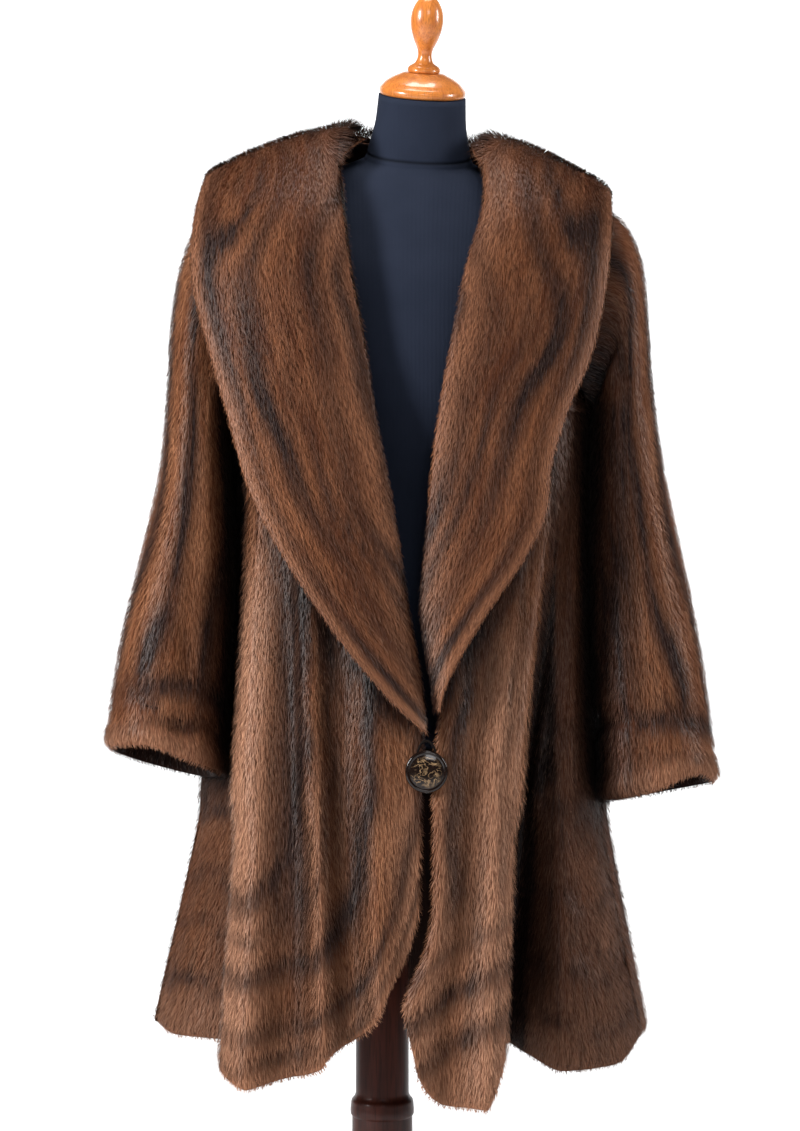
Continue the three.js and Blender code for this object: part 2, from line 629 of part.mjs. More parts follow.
function addButton() {
  const standOff = 2 * loop.radius + 2 * clearance;
  const profile = [
    [0, 0],
    [button.shankRadius, 0],
    [button.shankRadius, standOff],
    [button.radius - 2, standOff],
    [button.radius, standOff + 2],
    [button.radius, standOff + 4],
    [button.radius - 1.6, standOff + 5.6],
    [button.radius - 4, standOff + 5.2],
    [0, standOff + button.thickness],
  ];
  const geometry = new THREE.LatheGeometry(
    profile.map(([r, y]) => new THREE.Vector2(r, y)),
    roundSteps,
  );
  const mesh = addMesh("button", geometry, resinMaterial);
  mesh.rotation.x = Math.PI;
  mesh.position.set(button.x, buttonSeat(), button.z);
}

addButton();

// A ring of cord, long enough to run from under the collar's tip round the shank.
function addLoop() {
  const centreZ = button.z - button.shankRadius - 2 * clearance - loop.radius + loop.halfHeight;
  class LoopCurve extends THREE.Curve {
    getPoint(t, target = new THREE.Vector3()) {
      const turn = 2 * Math.PI * t;
      return target.set(
        button.x + loop.halfWidth * Math.sin(turn),
        buttonSeat() - clearance - loop.radius,
        centreZ - loop.halfHeight * Math.cos(turn),
      );
    }
  }
  const geometry = new THREE.TubeGeometry(new LoopCurve(), 24, loop.radius, 6, true);
  addMesh("button_loop", geometry, cordMaterial);
}

addLoop();

// The torso and neck: rings that lean sideways and look forward more and more towards the neck.
function addTorso() {
  const around = 28;
  const levels = torsoRings.length * 2 - 1;
  const rings = Array.from({ length: levels }, (_, i) => {
    const k = Math.min(Math.floor(i / 2), torsoRings.length - 2);
    const z = torsoRings[k].z + (torsoRings[k + 1].z - torsoRings[k].z) * (i / 2 - k);
    const value = (column) => readTable(torsoRings, "z", z, column);
    const roll = Math.tan(radians(formLean) * ((z - torsoBottom) / (neckTop.z - torsoBottom)));
    const pitch = Math.tan(radians(value("pitch")));
    return Array.from({ length: around }, (__, c) => {
      const turn = (2 * Math.PI * c) / around;
      const depth = Math.cos(turn) > 0 ? value("front") : value("back");
      const out = value("half") * signedPower(Math.sin(turn), 0.94);
      const forward = -depth * signedPower(Math.cos(turn), 0.94);
      return new THREE.Vector3(
        value("centre") + out,
        value("shift") + forward,
        z - out * roll + forward * pitch,
      );
    });
  });
  const positions = rings.flat().flatMap((point) => point.toArray());
  const index = [];
  for (let r = 0; r < levels - 1; r += 1) {
    for (let c = 0; c < around; c += 1) {
      const next = (c + 1) % around;
      const corners = [r * around + c, r * around + next, (r + 1) * around + next, (r + 1) * around + c];
      index.push(corners[0], corners[1], corners[2], corners[0], corners[2], corners[3]);
    }
  }
  for (const [ring, flips] of [[0, true], [levels - 1, false]]) {
    const centre = rings[ring].reduce((sum, point) => sum.add(point), new THREE.Vector3());
    positions.push(...centre.divideScalar(around).toArray());
    const hub = positions.length / 3 - 1;
    for (let c = 0; c < around; c += 1) {
      const here = ring * around + c;
      const next = ring * around + ((c + 1) % around);
      index.push(...(flips ? [hub, next, here] : [hub, here, next]));
    }
  }
  addMesh("torso", facingOut(positions, index), jerseyMaterial);
}

addTorso();

// A turned piece on the neck: its profile rises from the neck's top, tilted with it.
function addTurned(name, profile, steps, material, place, pitch, roll) {
  const geometry = new THREE.LatheGeometry(
    profile.map(([r, y]) => new THREE.Vector2(r, y)),
    steps,
  );
  geometry.rotateX(Math.PI / 2);
  const mesh = addMesh(name, geometry, material);
  mesh.rotation.set(radians(pitch), radians(roll), 0, "YXZ");
  mesh.position.set(place.x, place.y, place.z);
  return mesh;
}

const neckAxis = new THREE.Vector3(0, 0, 1).applyEuler(
  new THREE.Euler(radians(neckPitch), radians(formLean), 0, "YXZ"),
);
const capSeat = new THREE.Vector3(neckTop.x, neckTop.y, neckTop.z).addScaledVector(neckAxis, 0.3);
const capHeight = 26;
addTurned(
  "neck_cap",
  [[0, 0], [44, 0], [48, 3], [48, 8], [45, 12], [38, 18], [28, 23], [20, capHeight], [0, capHeight]],
  roundSteps,
  lightWoodMaterial,
  capSeat,
  neckPitch,
  formLean,
);
const finialSeat = capSeat.clone().addScaledVector(neckAxis, capHeight + 0.3);
addTurned(
  "finial",
  [
    [0, 0], [17, 0], [18.5, 3], [16, 7], [9.5, 12], [8, 19], [9, 25],
    [14, 36], [17.6, 49], [18.3, 58], [16, 70], [11, 79], [0, 84],
  ],
  24,
  lightWoodMaterial,
  finialSeat,
  neckPitch,
  formLean,
);

// The pole, the plate that it carries under the torso, and the base.
const poleTop = torsoBottom - socket.thickness - 2 * 0.3;
const upright = new THREE.Vector3(0, 0, 0);
addTurned(
  "pole",
  [
    [0, baseThickness + 0.3],
    [lowerPoleRadius, baseThickness + 0.3],
    [lowerPoleRadius, poleStep.bottom - 6],
    [lowerPoleRadius + 1.5, poleStep.bottom],
    [lowerPoleRadius + 1, poleStep.top - 8],
    [poleRadius, poleStep.top],
    [poleRadius, poleTop],
    [0, poleTop],
  ],
  28,
  darkWoodMaterial,
  upright,
  0,
  0,
);
addTurned(
  "pole_socket",
  [
    [0, torsoBottom - socket.thickness - 0.3],
    [socket.radius - 3, torsoBottom - socket.thickness - 0.3],
    [socket.radius, torsoBottom - socket.thickness + 2.7],
    [socket.radius, torsoBottom - 0.3],
    [0, torsoBottom - 0.3],
  ],
  28,
  plateMaterial,
  upright,
  0,
  0,
);
addTurned(
  "base",
  [
    [0, 0],
    [baseRadius - 4, 0],
    [baseRadius, 4],
    [baseRadius, 12],
    [baseRadius - 14, 19],
    [lowerPoleRadius + 34, baseThickness - 3],
    [lowerPoleRadius + 26, baseThickness],
    [0, baseThickness],
  ],
  40,
  darkWoodMaterial,
  upright,
  0,
  0,
);

export default coatOnForm;
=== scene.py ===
# A brown fur coat with a shawl collar on a limbless dress form, on a turned pole.
# Metres, the CAD frame: Z up, the coat faces -Y, left is the wearer's left, at +X.
import math
import bpy
import numpy as np
from mathutils import Matrix, Vector
from mathutils.bvhtree import BVHTree


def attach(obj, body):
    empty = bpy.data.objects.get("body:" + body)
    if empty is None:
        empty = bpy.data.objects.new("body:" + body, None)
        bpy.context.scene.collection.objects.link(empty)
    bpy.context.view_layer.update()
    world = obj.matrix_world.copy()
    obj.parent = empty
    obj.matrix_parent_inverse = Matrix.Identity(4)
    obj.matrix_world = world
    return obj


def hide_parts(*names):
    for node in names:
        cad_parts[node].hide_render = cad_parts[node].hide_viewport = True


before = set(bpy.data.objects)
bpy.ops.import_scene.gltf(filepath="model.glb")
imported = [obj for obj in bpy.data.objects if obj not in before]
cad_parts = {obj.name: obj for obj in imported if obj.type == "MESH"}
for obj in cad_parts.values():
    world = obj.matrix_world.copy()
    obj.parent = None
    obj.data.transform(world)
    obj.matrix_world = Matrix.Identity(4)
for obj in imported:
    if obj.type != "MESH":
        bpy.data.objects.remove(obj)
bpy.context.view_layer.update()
scene = bpy.context.scene
mm = 0.001

# Camera: level, about chest height, 2.6 m away
cameraData = bpy.data.cameras.new("camera")
cameraData.lens = 73.2
cameraData.sensor_width = 36
cameraData.clip_end = 30
camera = bpy.data.objects.new("camera", cameraData)
scene.collection.objects.link(camera)
camera.location = (0.02, -2.6, 0.96)
camera.rotation_euler = (math.pi / 2, 0, 0)
scene.camera = camera
print("camera set")


# Tables of sizes, in millimetres, read along a smooth line that never overshoots its rows
def rowsOf(names, rows):
    values = np.array(rows, float)
    return {name: values[:, i] for i, name in enumerate(names.split())}


def hermite(t, start, startSlope, end, endSlope):
    t2 = t * t
    t3 = t2 * t
    return (start * (2 * t3 - 3 * t2 + 1) + startSlope * (t3 - 2 * t2 + t)
            + end * (3 * t2 - 2 * t3) + endSlope * (t3 - t2))


def readTable(table, key, place, column):
    keys, values = table[key], table[column]
    place = np.asarray(place, float)
    last = len(keys) - 2
    slopes = np.diff(values) / np.diff(keys)
    before = slopes[np.clip(np.arange(-1, last + 1), 0, last)]
    after = slopes[np.clip(np.arange(0, last + 2), 0, last)]
    total = np.where(before + after == 0, 1, before + after)
    tangents = np.where(before * after > 0, 2 * before * after / total, 0)
    k = np.clip(np.searchsorted(keys, place, side="left") - 1, 0, last)
    span = keys[k + 1] - keys[k]
    t = (place - keys[k]) / span
    return hermite(t, values[k], tangents[k] * span, values[k + 1], tangents[k + 1] * span)


def signedPower(value, power):
    return np.sign(value) * np.abs(value) ** power


def smoothStep(low, high, value):
    t = np.clip((value - low) / (high - low), 0, 1)
    return t * t * (3 - 2 * t)


def unit(vectors):
    return vectors / np.maximum(np.linalg.norm(vectors, axis=-1, keepdims=True), 1e-9)


coat = {
    "pile": 6, "skin": 2.5, "rounding": 7, "closer": {"panel": 6.5, "left": 11, "right": 8},
    "clearance": 0.4, "hem": 412, "button": 747, "armpit": 1130, "shoulder": 1388, "neckline": 1440,
    "backNeckRise": 8, "armholeSpread": 39, "lean": 3.82,
    "collarSeat": {"left": 4.4, "right": 5.7}, "neckLift": 2.7, "collarSkin": 1.6,
}
yoke = rowsOf("z centre half front back square", [
    (1130, 34, 196, 138, 128, 2.4), (1259, 34, 194, 134, 130, 2.4), (1340, 38, 194, 112, 120, 2.1),
    (1388, 40, 186, 84, 100, 1.75), (1406, 38, 160, 77, 94, 1.7), (1416, 36, 130, 72, 89, 1.75),
    (1424, 35, 104, 69, 84, 1.85), (1431, 38, 85, 66, 81, 2), (1437, 41, 72.5, 64, 76, 2),
    (1446, 43, 68, 62, 71, 2)])
neckline = rowsOf("z right left", [
    (1130, 8.15, 4.73), (1195, 10.9, 8.2), (1259, 14.4, 10.5), (1340, 22, 18.8), (1388, 29.6, 24.5),
    (1406, 34.5, 28.5), (1416, 40, 36), (1424, 48, 45), (1431, 55, 51), (1437, 63, 59), (1446, 70, 68)])
frontEdge = rowsOf("z right left", [
    (390, 40, 15), (500, 42, 18), (560, 44, 40), (610, 44.5, 48.5), (747, 46, 50),
    (806, 47.5, 57), (910, 32, 40), (980, 22, 45), (1060, 9, 51), (1130, -4.5, 58.5)])
leftFrontFolds = rowsOf("across x y hemX hemY hemZ", [
    (0, 50, -189, 16, -214, 492), (0.1, 70, -192.6, 36, -225, 432), (0.24, 98, -178, 74, -211, 392),
    (0.38, 130, -181, 114, -227, 392), (0.48, 150, -158, 135, -192, 430),
    (0.54, 150, -122, 122, -112, 434), (0.6, 160, -94, 132, -38, 424), (0.67, 174, -106, 156, -76, 416),
    (0.76, 198, -112, 194, -112, 406), (0.88, 226, -70, 262, -78, 407), (1, 241, -14, 302, -14, 428)])
rightFrontFolds = rowsOf("across x y hemX hemY hemZ", [
    (0, 46, -189, 40, -206, 598), (0.05, 28, -189, 24, -212, 540), (0.12, -8, -193, 4, -222, 494),
    (0.22, -42, -173, -28, -203, 457), (0.31, -68, -185, -58, -222, 436),
    (0.41, -92, -163, -94, -196, 419), (0.54, -134, -162, -142, -216, 410),
    (0.65, -158, -124, -178, -176, 422), (0.76, -150, -64, -166, -76, 430),
    (0.88, -179, -14, -244, -14, 428), (1, -203, 40, -273, 46, 433)])
backFolds = rowsOf("across x y hemX hemY hemZ", [
    (0, 241, -14, 302, -14, 428), (0.08, 252, 46, 310, 58, 424), (0.16, 222, 90, 240, 106, 418),
    (0.26, 204, 144, 222, 188, 412), (0.36, 130, 150, 130, 168, 408), (0.46, 78, 190, 84, 245, 404),
    (0.56, 14, 172, 10, 202, 404), (0.66, -56, 188, -68, 240, 406), (0.76, -112, 142, -124, 160, 412),
    (0.86, -160, 130, -192, 172, 418), (0.93, -184, 82, -224, 98, 424), (1, -203, 40, -273, 46, 433)])
rightSleeveRings = rowsOf("outX outZ inX inZ y depth rise", [
    (-192, 1367, -167, 1118, -2, 84, 0), (-221, 1326, -168, 1094, -5, 82, 0),
    (-238, 1255, -168, 1064, -10, 80, 0), (-244, 1160, -167, 1024, -18, 78, 1),
    (-252, 1065, -166, 974, -28, 76, 2), (-273, 968, -167, 918, -38, 76, 4),
    (-291, 888, -170, 858, -46, 76, 8), (-303, 814, -173, 790, -52, 76, 12),
    (-308, 753, -173, 723, -56, 74, 15)])
leftSleeveRings = rowsOf("outX outZ inX inZ y depth rise", [
    (269, 1355, 236, 1118, -2, 84, 0), (292, 1315, 235, 1094, -5, 82, 0),
    (301, 1250, 234, 1064, -10, 80, 0), (306, 1165, 233, 1024, -18, 78, 1),
    (318, 1070, 234, 968, -28, 76, 2), (337, 972, 236, 908, -38, 76, 3),
    (353, 888, 239, 842, -46, 76, 5), (366, 799, 243, 768, -52, 76, 8),
    (374, 716, 247, 695, -56, 74, 9)])
# The collar's sections start at a height on the front's edge, or at a turn round the neckline.
rightCollarRows = rowsOf("z turn edgeX edgeY edgeZ crown", [
    (782, -1, 44, -205, 784, 0), (808, -1, 11, -203, 809, 5), (841, -1, -20, -197, 843, 8),
    (877, -1, -49, -192, 878, 11), (910, -1, -77, -184, 918, 14), (944, -1, -102, -176, 955, 15),
    (987, -1, -127, -164, 998, 16), (1040, -1, -150, -150, 1046, 17), (1117, -1, -172, -132, 1122, 18),
    (1195, -1, -193, -114, 1194, 18), (1272, -1, -211, -98, 1264, 18), (1335, -1, -212, -80, 1332, 19),
    (1390, -1, -202, -36, 1388, 16), (1424, -1, -202, 0, 1389, 17), (0, 80, -196, 38, 1382, 18),
    (0, 110, -160, 104, 1318, 23), (0, 145, -76, 148, 1270, 26), (0, 180, 34, 160, 1256, 24)])
leftCollarRows = rowsOf("z turn edgeX edgeY edgeZ crown", [
    (806, -1, 64, -203, 808, 0), (832, -1, 75, -202, 832, 4), (872, -1, 98, -195, 874, 9),
    (911, -1, 125, -186, 917, 13), (956, -1, 156, -174, 961, 15), (1010, -1, 181, -158, 1010, 16),
    (1070, -1, 188, -146, 1064, 17), (1142, -1, 205, -130, 1122, 18), (1225, -1, 232, -112, 1185, 18),
    (1290, -1, 247, -102, 1250, 18), (1350, -1, 256, -84, 1318, 20), (1398, -1, 259, -36, 1368, 20),
    (1424, -1, 258, 0, 1369, 19), (0, 80, 254, 38, 1363, 20), (0, 110, 224, 104, 1308, 23),
    (0, 145, 142, 148, 1266, 26), (0, 180, 34, 160, 1256, 24)])


# A point of a smooth curve through points that are arrays of the same shape
def throughPoints(points, place):
    last = len(points) - 1
    k = min(int(math.floor(place)), last - 1)
    t = place - k
    p1, p2 = points[k], points[k + 1]
    p0 = points[k - 1] if k > 0 else 2 * points[0] - points[1]
    p3 = points[k + 2] if k + 2 <= last else 2 * points[last] - points[last - 1]
    gap = lambda a, b: np.sqrt(np.linalg.norm(b - a, axis=-1, keepdims=True))
    d1 = gap(p1, p2)
    d1 = np.where(d1 < 1e-4, 1.0, d1)
    d0 = gap(p0, p1)
    d0 = np.where(d0 < 1e-4, d1, d0)
    d2 = gap(p2, p3)
    d2 = np.where(d2 < 1e-4, d1, d2)
    slope1 = ((p1 - p0) / d0 - (p2 - p0) / (d0 + d1) + (p2 - p1) / d1) * d1
    slope2 = ((p2 - p1) / d1 - (p3 - p1) / (d1 + d2) + (p3 - p2) / d2) * d1
    return hermite(t, p1, slope1, p2, slope2)


def yokePoint(z, angle):
    turn = np.radians(angle)
    power = 2 / readTable(yoke, "z", z, "square")
    depth = np.where(np.cos(turn) > 0, readTable(yoke, "z", z, "front"), readTable(yoke, "z", z, "back"))
    out = readTable(yoke, "z", z, "half") * signedPower(np.sin(turn), power)
    lean = math.radians(coat["lean"]) * ((z - coat["armpit"]) / (coat["neckline"] - coat["armpit"]))
    x = readTable(yoke, "z", z, "centre") + out
    y = -depth * signedPower(np.cos(turn), power)
    return np.stack(np.broadcast_arrays(x, y, z - out * np.tan(lean)), axis=-1)


def armholeCut(z):
    middle = (coat["armpit"] + coat["shoulder"]) / 2
    half = (coat["shoulder"] - coat["armpit"]) / 2
    return coat["armholeSpread"] * np.sqrt(np.maximum(0, 1 - ((z - middle) / half) ** 2))


def frontAngle(edge, side):
    def angle(across, z):
        start = readTable(neckline, "z", z, edge)
        return side * (start + (90 - armholeCut(z) - start) * across)
    return angle


def backAngle(across, z):
    start = 90 + armholeCut(z)
    return start + (360 - 2 * start) * across


leftFront = {"folds": leftFrontFolds, "outward": -1, "edge": "left", "angle": frontAngle("left", 1)}
rightFront = {"folds": rightFrontFolds, "outward": 1, "edge": "right", "angle": frontAngle("right", -1)}
back = {"folds": backFolds, "outward": -1, "edge": None, "angle": backAngle}


def topOf(panel, across):
    rise = 0 if panel["edge"] else coat["backNeckRise"] * math.sin(math.pi * across)
    return coat["neckline"] + rise


def hang(z, chest, atButton, atHem):
    skirt = coat["button"] - coat["hem"]
    trunk = coat["armpit"] - coat["button"]
    slope = (chest - atHem) / (skirt + trunk)
    upper = hermite((z - coat["button"]) / trunk, atButton, slope * trunk, chest, 0)
    lower = hermite((z - coat["hem"]) / skirt, atHem, atButton - atHem, atButton, slope * skirt)
    return np.where(z > coat["button"], upper, lower)


def foldLine(panel, fold, z):
    folds = panel["folds"]
    across = folds["across"][fold]
    chest = yokePoint(np.float64(coat["armpit"]), panel["angle"](across, coat["armpit"]))
    x = hang(z, chest[0], folds["x"][fold], folds["hemX"][fold])
    y = hang(z, chest[1], folds["y"][fold], folds["hemY"][fold])
    follow = max(0, 1 - across / 0.3)
    if panel["edge"] and follow > 0:
        chestEdge = yokePoint(np.float64(coat["armpit"]), panel["angle"](0, coat["armpit"]))[0]
        straight = hang(z, chestEdge, folds["x"][0], folds["hemX"][0])
        x = x + follow * (readTable(frontEdge, "z", z, panel["edge"]) - straight)
    low = np.stack([x, y, z], axis=-1)
    high = yokePoint(z, panel["angle"](across, z))
    return np.where((z >= coat["armpit"])[..., None], high, low)


def panelLine(panel, place, z):
    z = np.asarray(z, float)
    count = len(panel["folds"]["across"])
    k = min(int(math.floor(place)), count - 2)
    low, high = max(k - 1, 0), min(k + 2, count - 1)
    near = {i: foldLine(panel, i, z) for i in range(low, high + 1)}
    chain = [near.get(i, near[k]) for i in range(count)]
    return throughPoints(chain, place)


def acrossAt(panel, place):
    across = panel["folds"]["across"]
    return float(np.interp(place, np.arange(len(across)), across))


def gridNormals(grid, outward, wraps=False):
    if wraps:
        across = np.roll(grid, -1, axis=1) - np.roll(grid, 1, axis=1)
    else:
        across = np.gradient(grid, axis=1)
    up = np.gradient(grid, axis=0)
    return unit(np.cross(up, across)) * outward


# A closed wall between two grids of points; its vertices are the outer grid's, then the inner's
def wallMesh(name, outer, inner, wraps=False):
    rows, columns = outer.shape[:2]
    points = np.concatenate([outer.reshape(-1, 3), inner.reshape(-1, 3)]) * mm
    index = np.arange(rows * columns).reshape(rows, columns)
    here = index if wraps else index[:, :-1]
    beside = np.roll(index, -1, axis=1) if wraps else index[:, 1:]
    faces = [np.stack([here[:-1], beside[:-1], beside[1:], here[1:]], -1).reshape(-1, 4)]
    shift = rows * columns
    faces.append(faces[0][:, ::-1] + shift)
    for row, flip in ((0, 1), (rows - 1, -1)):
        a, b = here[row], beside[row]
        faces.append(np.stack([a, a + shift, b + shift, b], -1)[:, ::flip])
    if not wraps:
        for column, flip in ((0, 1), (columns - 1, -1)):
            a, b = index[:-1, column], index[1:, column]
            faces.append(np.stack([a, b, b + shift, a + shift], -1)[:, ::flip])
    faces = np.concatenate(faces)
    corners = points[faces]
    volume = np.einsum("ij,ij->", corners[:, 0], np.cross(corners[:, 1], corners[:, 2]))
    if volume < 0:
        faces = faces[:, ::-1]
    return meshFrom(name, points, faces)


def meshFrom(name, points, faces):
    mesh = bpy.data.meshes.new(name)
    mesh.from_pydata([tuple(p) for p in points], [], [tuple(int(i) for i in f) for f in faces])
    mesh.validate()
    mesh.polygons.foreach_set("use_smooth", [True] * len(mesh.polygons))
    mesh.update()
    return mesh


def addPiece(name, mesh, nodes, materials):
    piece = bpy.data.objects.new(name, mesh)
    scene.collection.objects.link(piece)
    for material in materials:
        mesh.materials.append(material)
    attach(piece, "root")
    if nodes:
        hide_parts(*nodes)
    return piece


def setFloats(mesh, name, values):
    mesh.attributes.new(name, "FLOAT", "POINT").data.foreach_set("value", np.asarray(values, float).ravel())


def setVectors(mesh, name, values):
    data = mesh.attributes.new(name, "FLOAT_VECTOR", "POINT").data
    data.foreach_set("vector", np.asarray(values, float).ravel())


# Creases of the cloth: a line in X and Z, its half width and depth, how much shade is painted into the
# fur there, and its side of the coat, -1 in front and 1 behind.
creases = {
    "back": [
        ([(-200, 560), (-150, 552), (-110, 566)], 8, 3, 0.6, 1),
        ([(60, 520), (110, 508), (160, 516), (196, 530)], 9, 3, 0.55, 1),
        ([(-60, 690), (-20, 684), (30, 692)], 7, 2.5, 0.4, 1),
        ([(120, 742), (160, 728), (192, 732)], 8, 3, 0.5, 1),
        ([(-150, 905), (-110, 892), (-80, 894)], 7, 2.5, 0.4, 1),
        ([(40, 990), (90, 978), (140, 986)], 9, 3, 0.4, 1),
    ],
    "front_left": [
        ([(176, 619), (205, 612), (230, 603)], 8, 6, 0.95, -1),
        ([(182, 557), (225, 546), (262, 524), (282, 511)], 9, 7, 0.95, -1),
        ([(168, 479), (205, 477), (242, 470)], 8, 5, 0.9, -1),
        ([(174, 791), (195, 786), (213, 777)], 8, 5, 0.9, -1),
        ([(222, 583), (244, 575), (264, 563)], 5, 2, 0.4, -1),
        ([(196, 700), (222, 690), (246, 676)], 7, 2, 0.35, -1),
        ([(140, 858), (143, 836), (141, 812)], 3, 4, 0.9, -1),
    ],
    "front_right": [
        ([(-210, 590), (-190, 586), (-168, 590)], 12, 3, 0.6, -1),
        ([(-232, 492), (-200, 484), (-172, 488)], 14, 3, 0.65, -1),
        ([(-196, 668), (-182, 660), (-170, 662)], 10, 2, 0.45, -1),
    ],
    "sleeve_left": [
        ([(232, 783), (252, 794), (269, 799), (284, 795), (298, 785)], 8, 8, 1.0, -1),
        ([(286, 828), (318, 808), (350, 782)], 11, 5, 0.75, -1),
        ([(262, 860), (286, 852), (304, 838)], 9, 4, 0.6, -1),
        ([(250, 930), (268, 912), (276, 890)], 8, 2, 0.3, -1),
        ([(255, 840), (300, 828), (344, 836)], 8, 3, 0.5, 1),
    ],
    "sleeve_right": [
        ([(-284, 846), (-262, 822), (-236, 806)], 12, 6, 0.8, -1),
        ([(-214, 900), (-206, 872), (-204, 842)], 9, 3, 0.45, -1),
        ([(-230, 792), (-206, 786), (-186, 792)], 10, 6, 0.85, -1),
        ([(-284, 830), (-240, 818), (-196, 828)], 8, 3, 0.5, 1),
    ],
    "collar_left": [
        ([(121, 1190), (125, 1177)], 3, 3, 0.95, -1),
        ([(87, 1167), (97, 1159)], 3, 2.5, 0.8, -1),
        ([(60, 1130), (64, 1116)], 3, 2, 0.5, -1),
    ],
    "collar_right": [
        ([(-178, 1250), (-166, 1252), (-156, 1249)], 4, 4, 0.95, -1),
        ([(-202, 1235), (-186, 1232), (-170, 1227)], 4, 2.5, 0.5, -1),
        ([(-116, 1137), (-112, 1123)], 3, 3, 0.7, -1),
        ([(-13, 902), (-11, 888)], 4, 3, 0.7, -1),
    ],
}


def creaseField(points, rows):
    depth = np.zeros(points.shape[:-1])
    dark = np.zeros(points.shape[:-1])
    flat = points[..., [0, 2]]
    for line, wide, deep, darkness, side in rows:
        corners = np.array(line, float)
        nearest = np.full(points.shape[:-1], 1e9)
        along = np.zeros(points.shape[:-1])
        for i in range(len(corners) - 1):
            way = corners[i + 1] - corners[i]
            share = np.clip(((flat - corners[i]) @ way) / (way @ way), 0, 1)
            far = np.linalg.norm(flat - corners[i] - share[..., None] * way, axis=-1)
            closer = far < nearest
            nearest = np.where(closer, far, nearest)
            along = np.where(closer, (i + share) / (len(corners) - 1), along)
        ends = np.sqrt(np.clip(4 * along * (1 - along), 0, 1))
        weight = np.exp(-((nearest / wide) ** 2)) * (0.25 + 0.75 * ends) * (points[..., 1] * side > 0)
        depth += deep * weight
        # The dark of a crease is painted shade
        dark = np.maximum(dark, darkness * weight)
    return depth, dark


# How deep the skin lies under the pile, rounded off within a distance of an edge
def roundedDepth(distance):
    share = np.clip(distance / coat["rounding"], 0, 1)
    return coat["pile"] + coat["skin"] * (1 - np.sqrt(1 - (1 - share) ** 2))


# How far down each place of a grid lies, measured along the surface
def lengthDown(grid):
    steps = np.linalg.norm(np.diff(grid, axis=0), axis=-1)
    return np.concatenate([np.zeros((1, grid.shape[1])), np.cumsum(steps, axis=0)])


# Fur at an edge: how much shorter and denser it is and how far in, how much of it grows on the part
# turned inside and how long, and how it turns under. Lining is how dark the rest of the inside is: a dark
# lining with painted shade.
edgeFur = {"shorter": 0.5, "shorterWithin": 16, "denser": 0.6, "denserWithin": 14, "turned": 0.8,
           "turnedLength": 0.6, "liningAndShade": 0.9, "under": (2, 16), "lessFlow": 0.45, "inward": 0.75}


def turnUnder(flow, normals, fromEdge):
    share = (1 - smoothStep(*edgeFur["under"], fromEdge))[..., None]
    return unit(flow * (1 - edgeFur["lessFlow"] * share) - normals * edgeFur["inward"] * share)


skins = {}


# One skin with what its fur needs: where it grows and how long, which way it lies, where its pelt bands
# and painted shade darken it and where painted highlight pales it. The inner side is the fur turned in at
# the edges, and dark lining with painted shade elsewhere.
def addSkin(name, outer, inner, flow, near, turnedIn, peltAndShade, dark, lay, lit, wraps=False, longer=0.0):
    mesh = wallMesh(name, outer, inner, wraps)
    short = edgeFur["shorter"] * (1 - smoothStep(0, edgeFur["shorterWithin"], near))
    trim = (1 - short + longer).ravel()
    setFloats(mesh, "trim", np.concatenate([trim, 0 * trim + edgeFur["turnedLength"]]))
    cover = (near > -1) * (1 + edgeFur["denser"] * (1 - smoothStep(0, edgeFur["denserWithin"], near)))
    setFloats(mesh, "cover", np.concatenate([cover.ravel(), (edgeFur["turned"] * turnedIn).ravel()]))
    # The rest of the inside: a dark lining with painted shade
    liningAndShade = edgeFur["liningAndShade"] * (1 - turnedIn)
    setFloats(mesh, "dark", np.concatenate([dark.ravel(), np.maximum(dark, liningAndShade).ravel()]))
    setFloats(mesh, "peltAndShade", np.concatenate([peltAndShade.ravel(), peltAndShade.ravel()]))
    setFloats(mesh, "lit", np.concatenate([lit.ravel(), 0 * lit.ravel()]))
    # The inner side lies apart in the pattern, so its streaks differ
    lay = lay.reshape(-1, 3) * mm
    setVectors(mesh, "lay", np.concatenate([lay, lay + (0, 0.3, 0)]))
    # The fur of a panel turned inside an edge runs on round it, so it points back up
    inward = flow if name.startswith(("cuff", "collar")) else -flow
    setVectors(mesh, "flow", np.concatenate([flow.reshape(-1, 3), inward.reshape(-1, 3)]))
    skins[name] = mesh


# Dark bands at given places, for pelt centres and for painted shade: each has a half width and a strength
def bandsAt(place, bands):
    total = np.zeros(place.shape)
    for where, wide, strength in bands:
        total = np.maximum(total, strength * np.exp(-(((place - where) / wide) ** 2)))
    return total


def peltPhase(distance, width, offset=0.0):
    phase = np.mod(distance / width + offset, 1)
    return np.exp(-(((phase - 0.5) / 0.23) ** 2))


# Dark bands of the fronts: place, half width, strength. On the right they hang, counted from the main
# lobe's outer side, and turn outwards above the hem; there they are partly pelt centres and partly painted
# shade along the valleys. On the left they hang, and above the hem they slant down to the front edge. The
# sides are crossed by bands of painted shade at given heights, for their creases and the sleeve's shade, on
# a ground of painted shade.
fronts = {
    "front_right": {"lobe": 7, "side": -1, "bend": 250,
                    "bands": [(64, 14, 1.0), (98, 9, 0.7), (138, 14, 1.0), (196, 11, 0.9), (228, 7, 0.8)],
                    "across": [(755, 26, 0.9), (720, 60, 0.85), (686, 18, 0.95), (612, 15, 0.8),
                               (557, 10, 0.8), (491, 17, 0.95)],
                    "groundShade": 0.5},
    "front_left": {"lobe": 3.6, "side": 1, "hung": [(64, 13, 0.95), (12, 9, 0.6)], "slope": 0.56,
                   "slanted": [(41, 13, 0.95), (92, 14, 1.0), (138, 9, 0.7)],
                   "across": [(800, 20, 0.7), (700, 22, 0.8), (606, 15, 0.9), (526, 17, 0.9),
                              (466, 15, 0.9)],
                   "groundShade": 0.72},
}


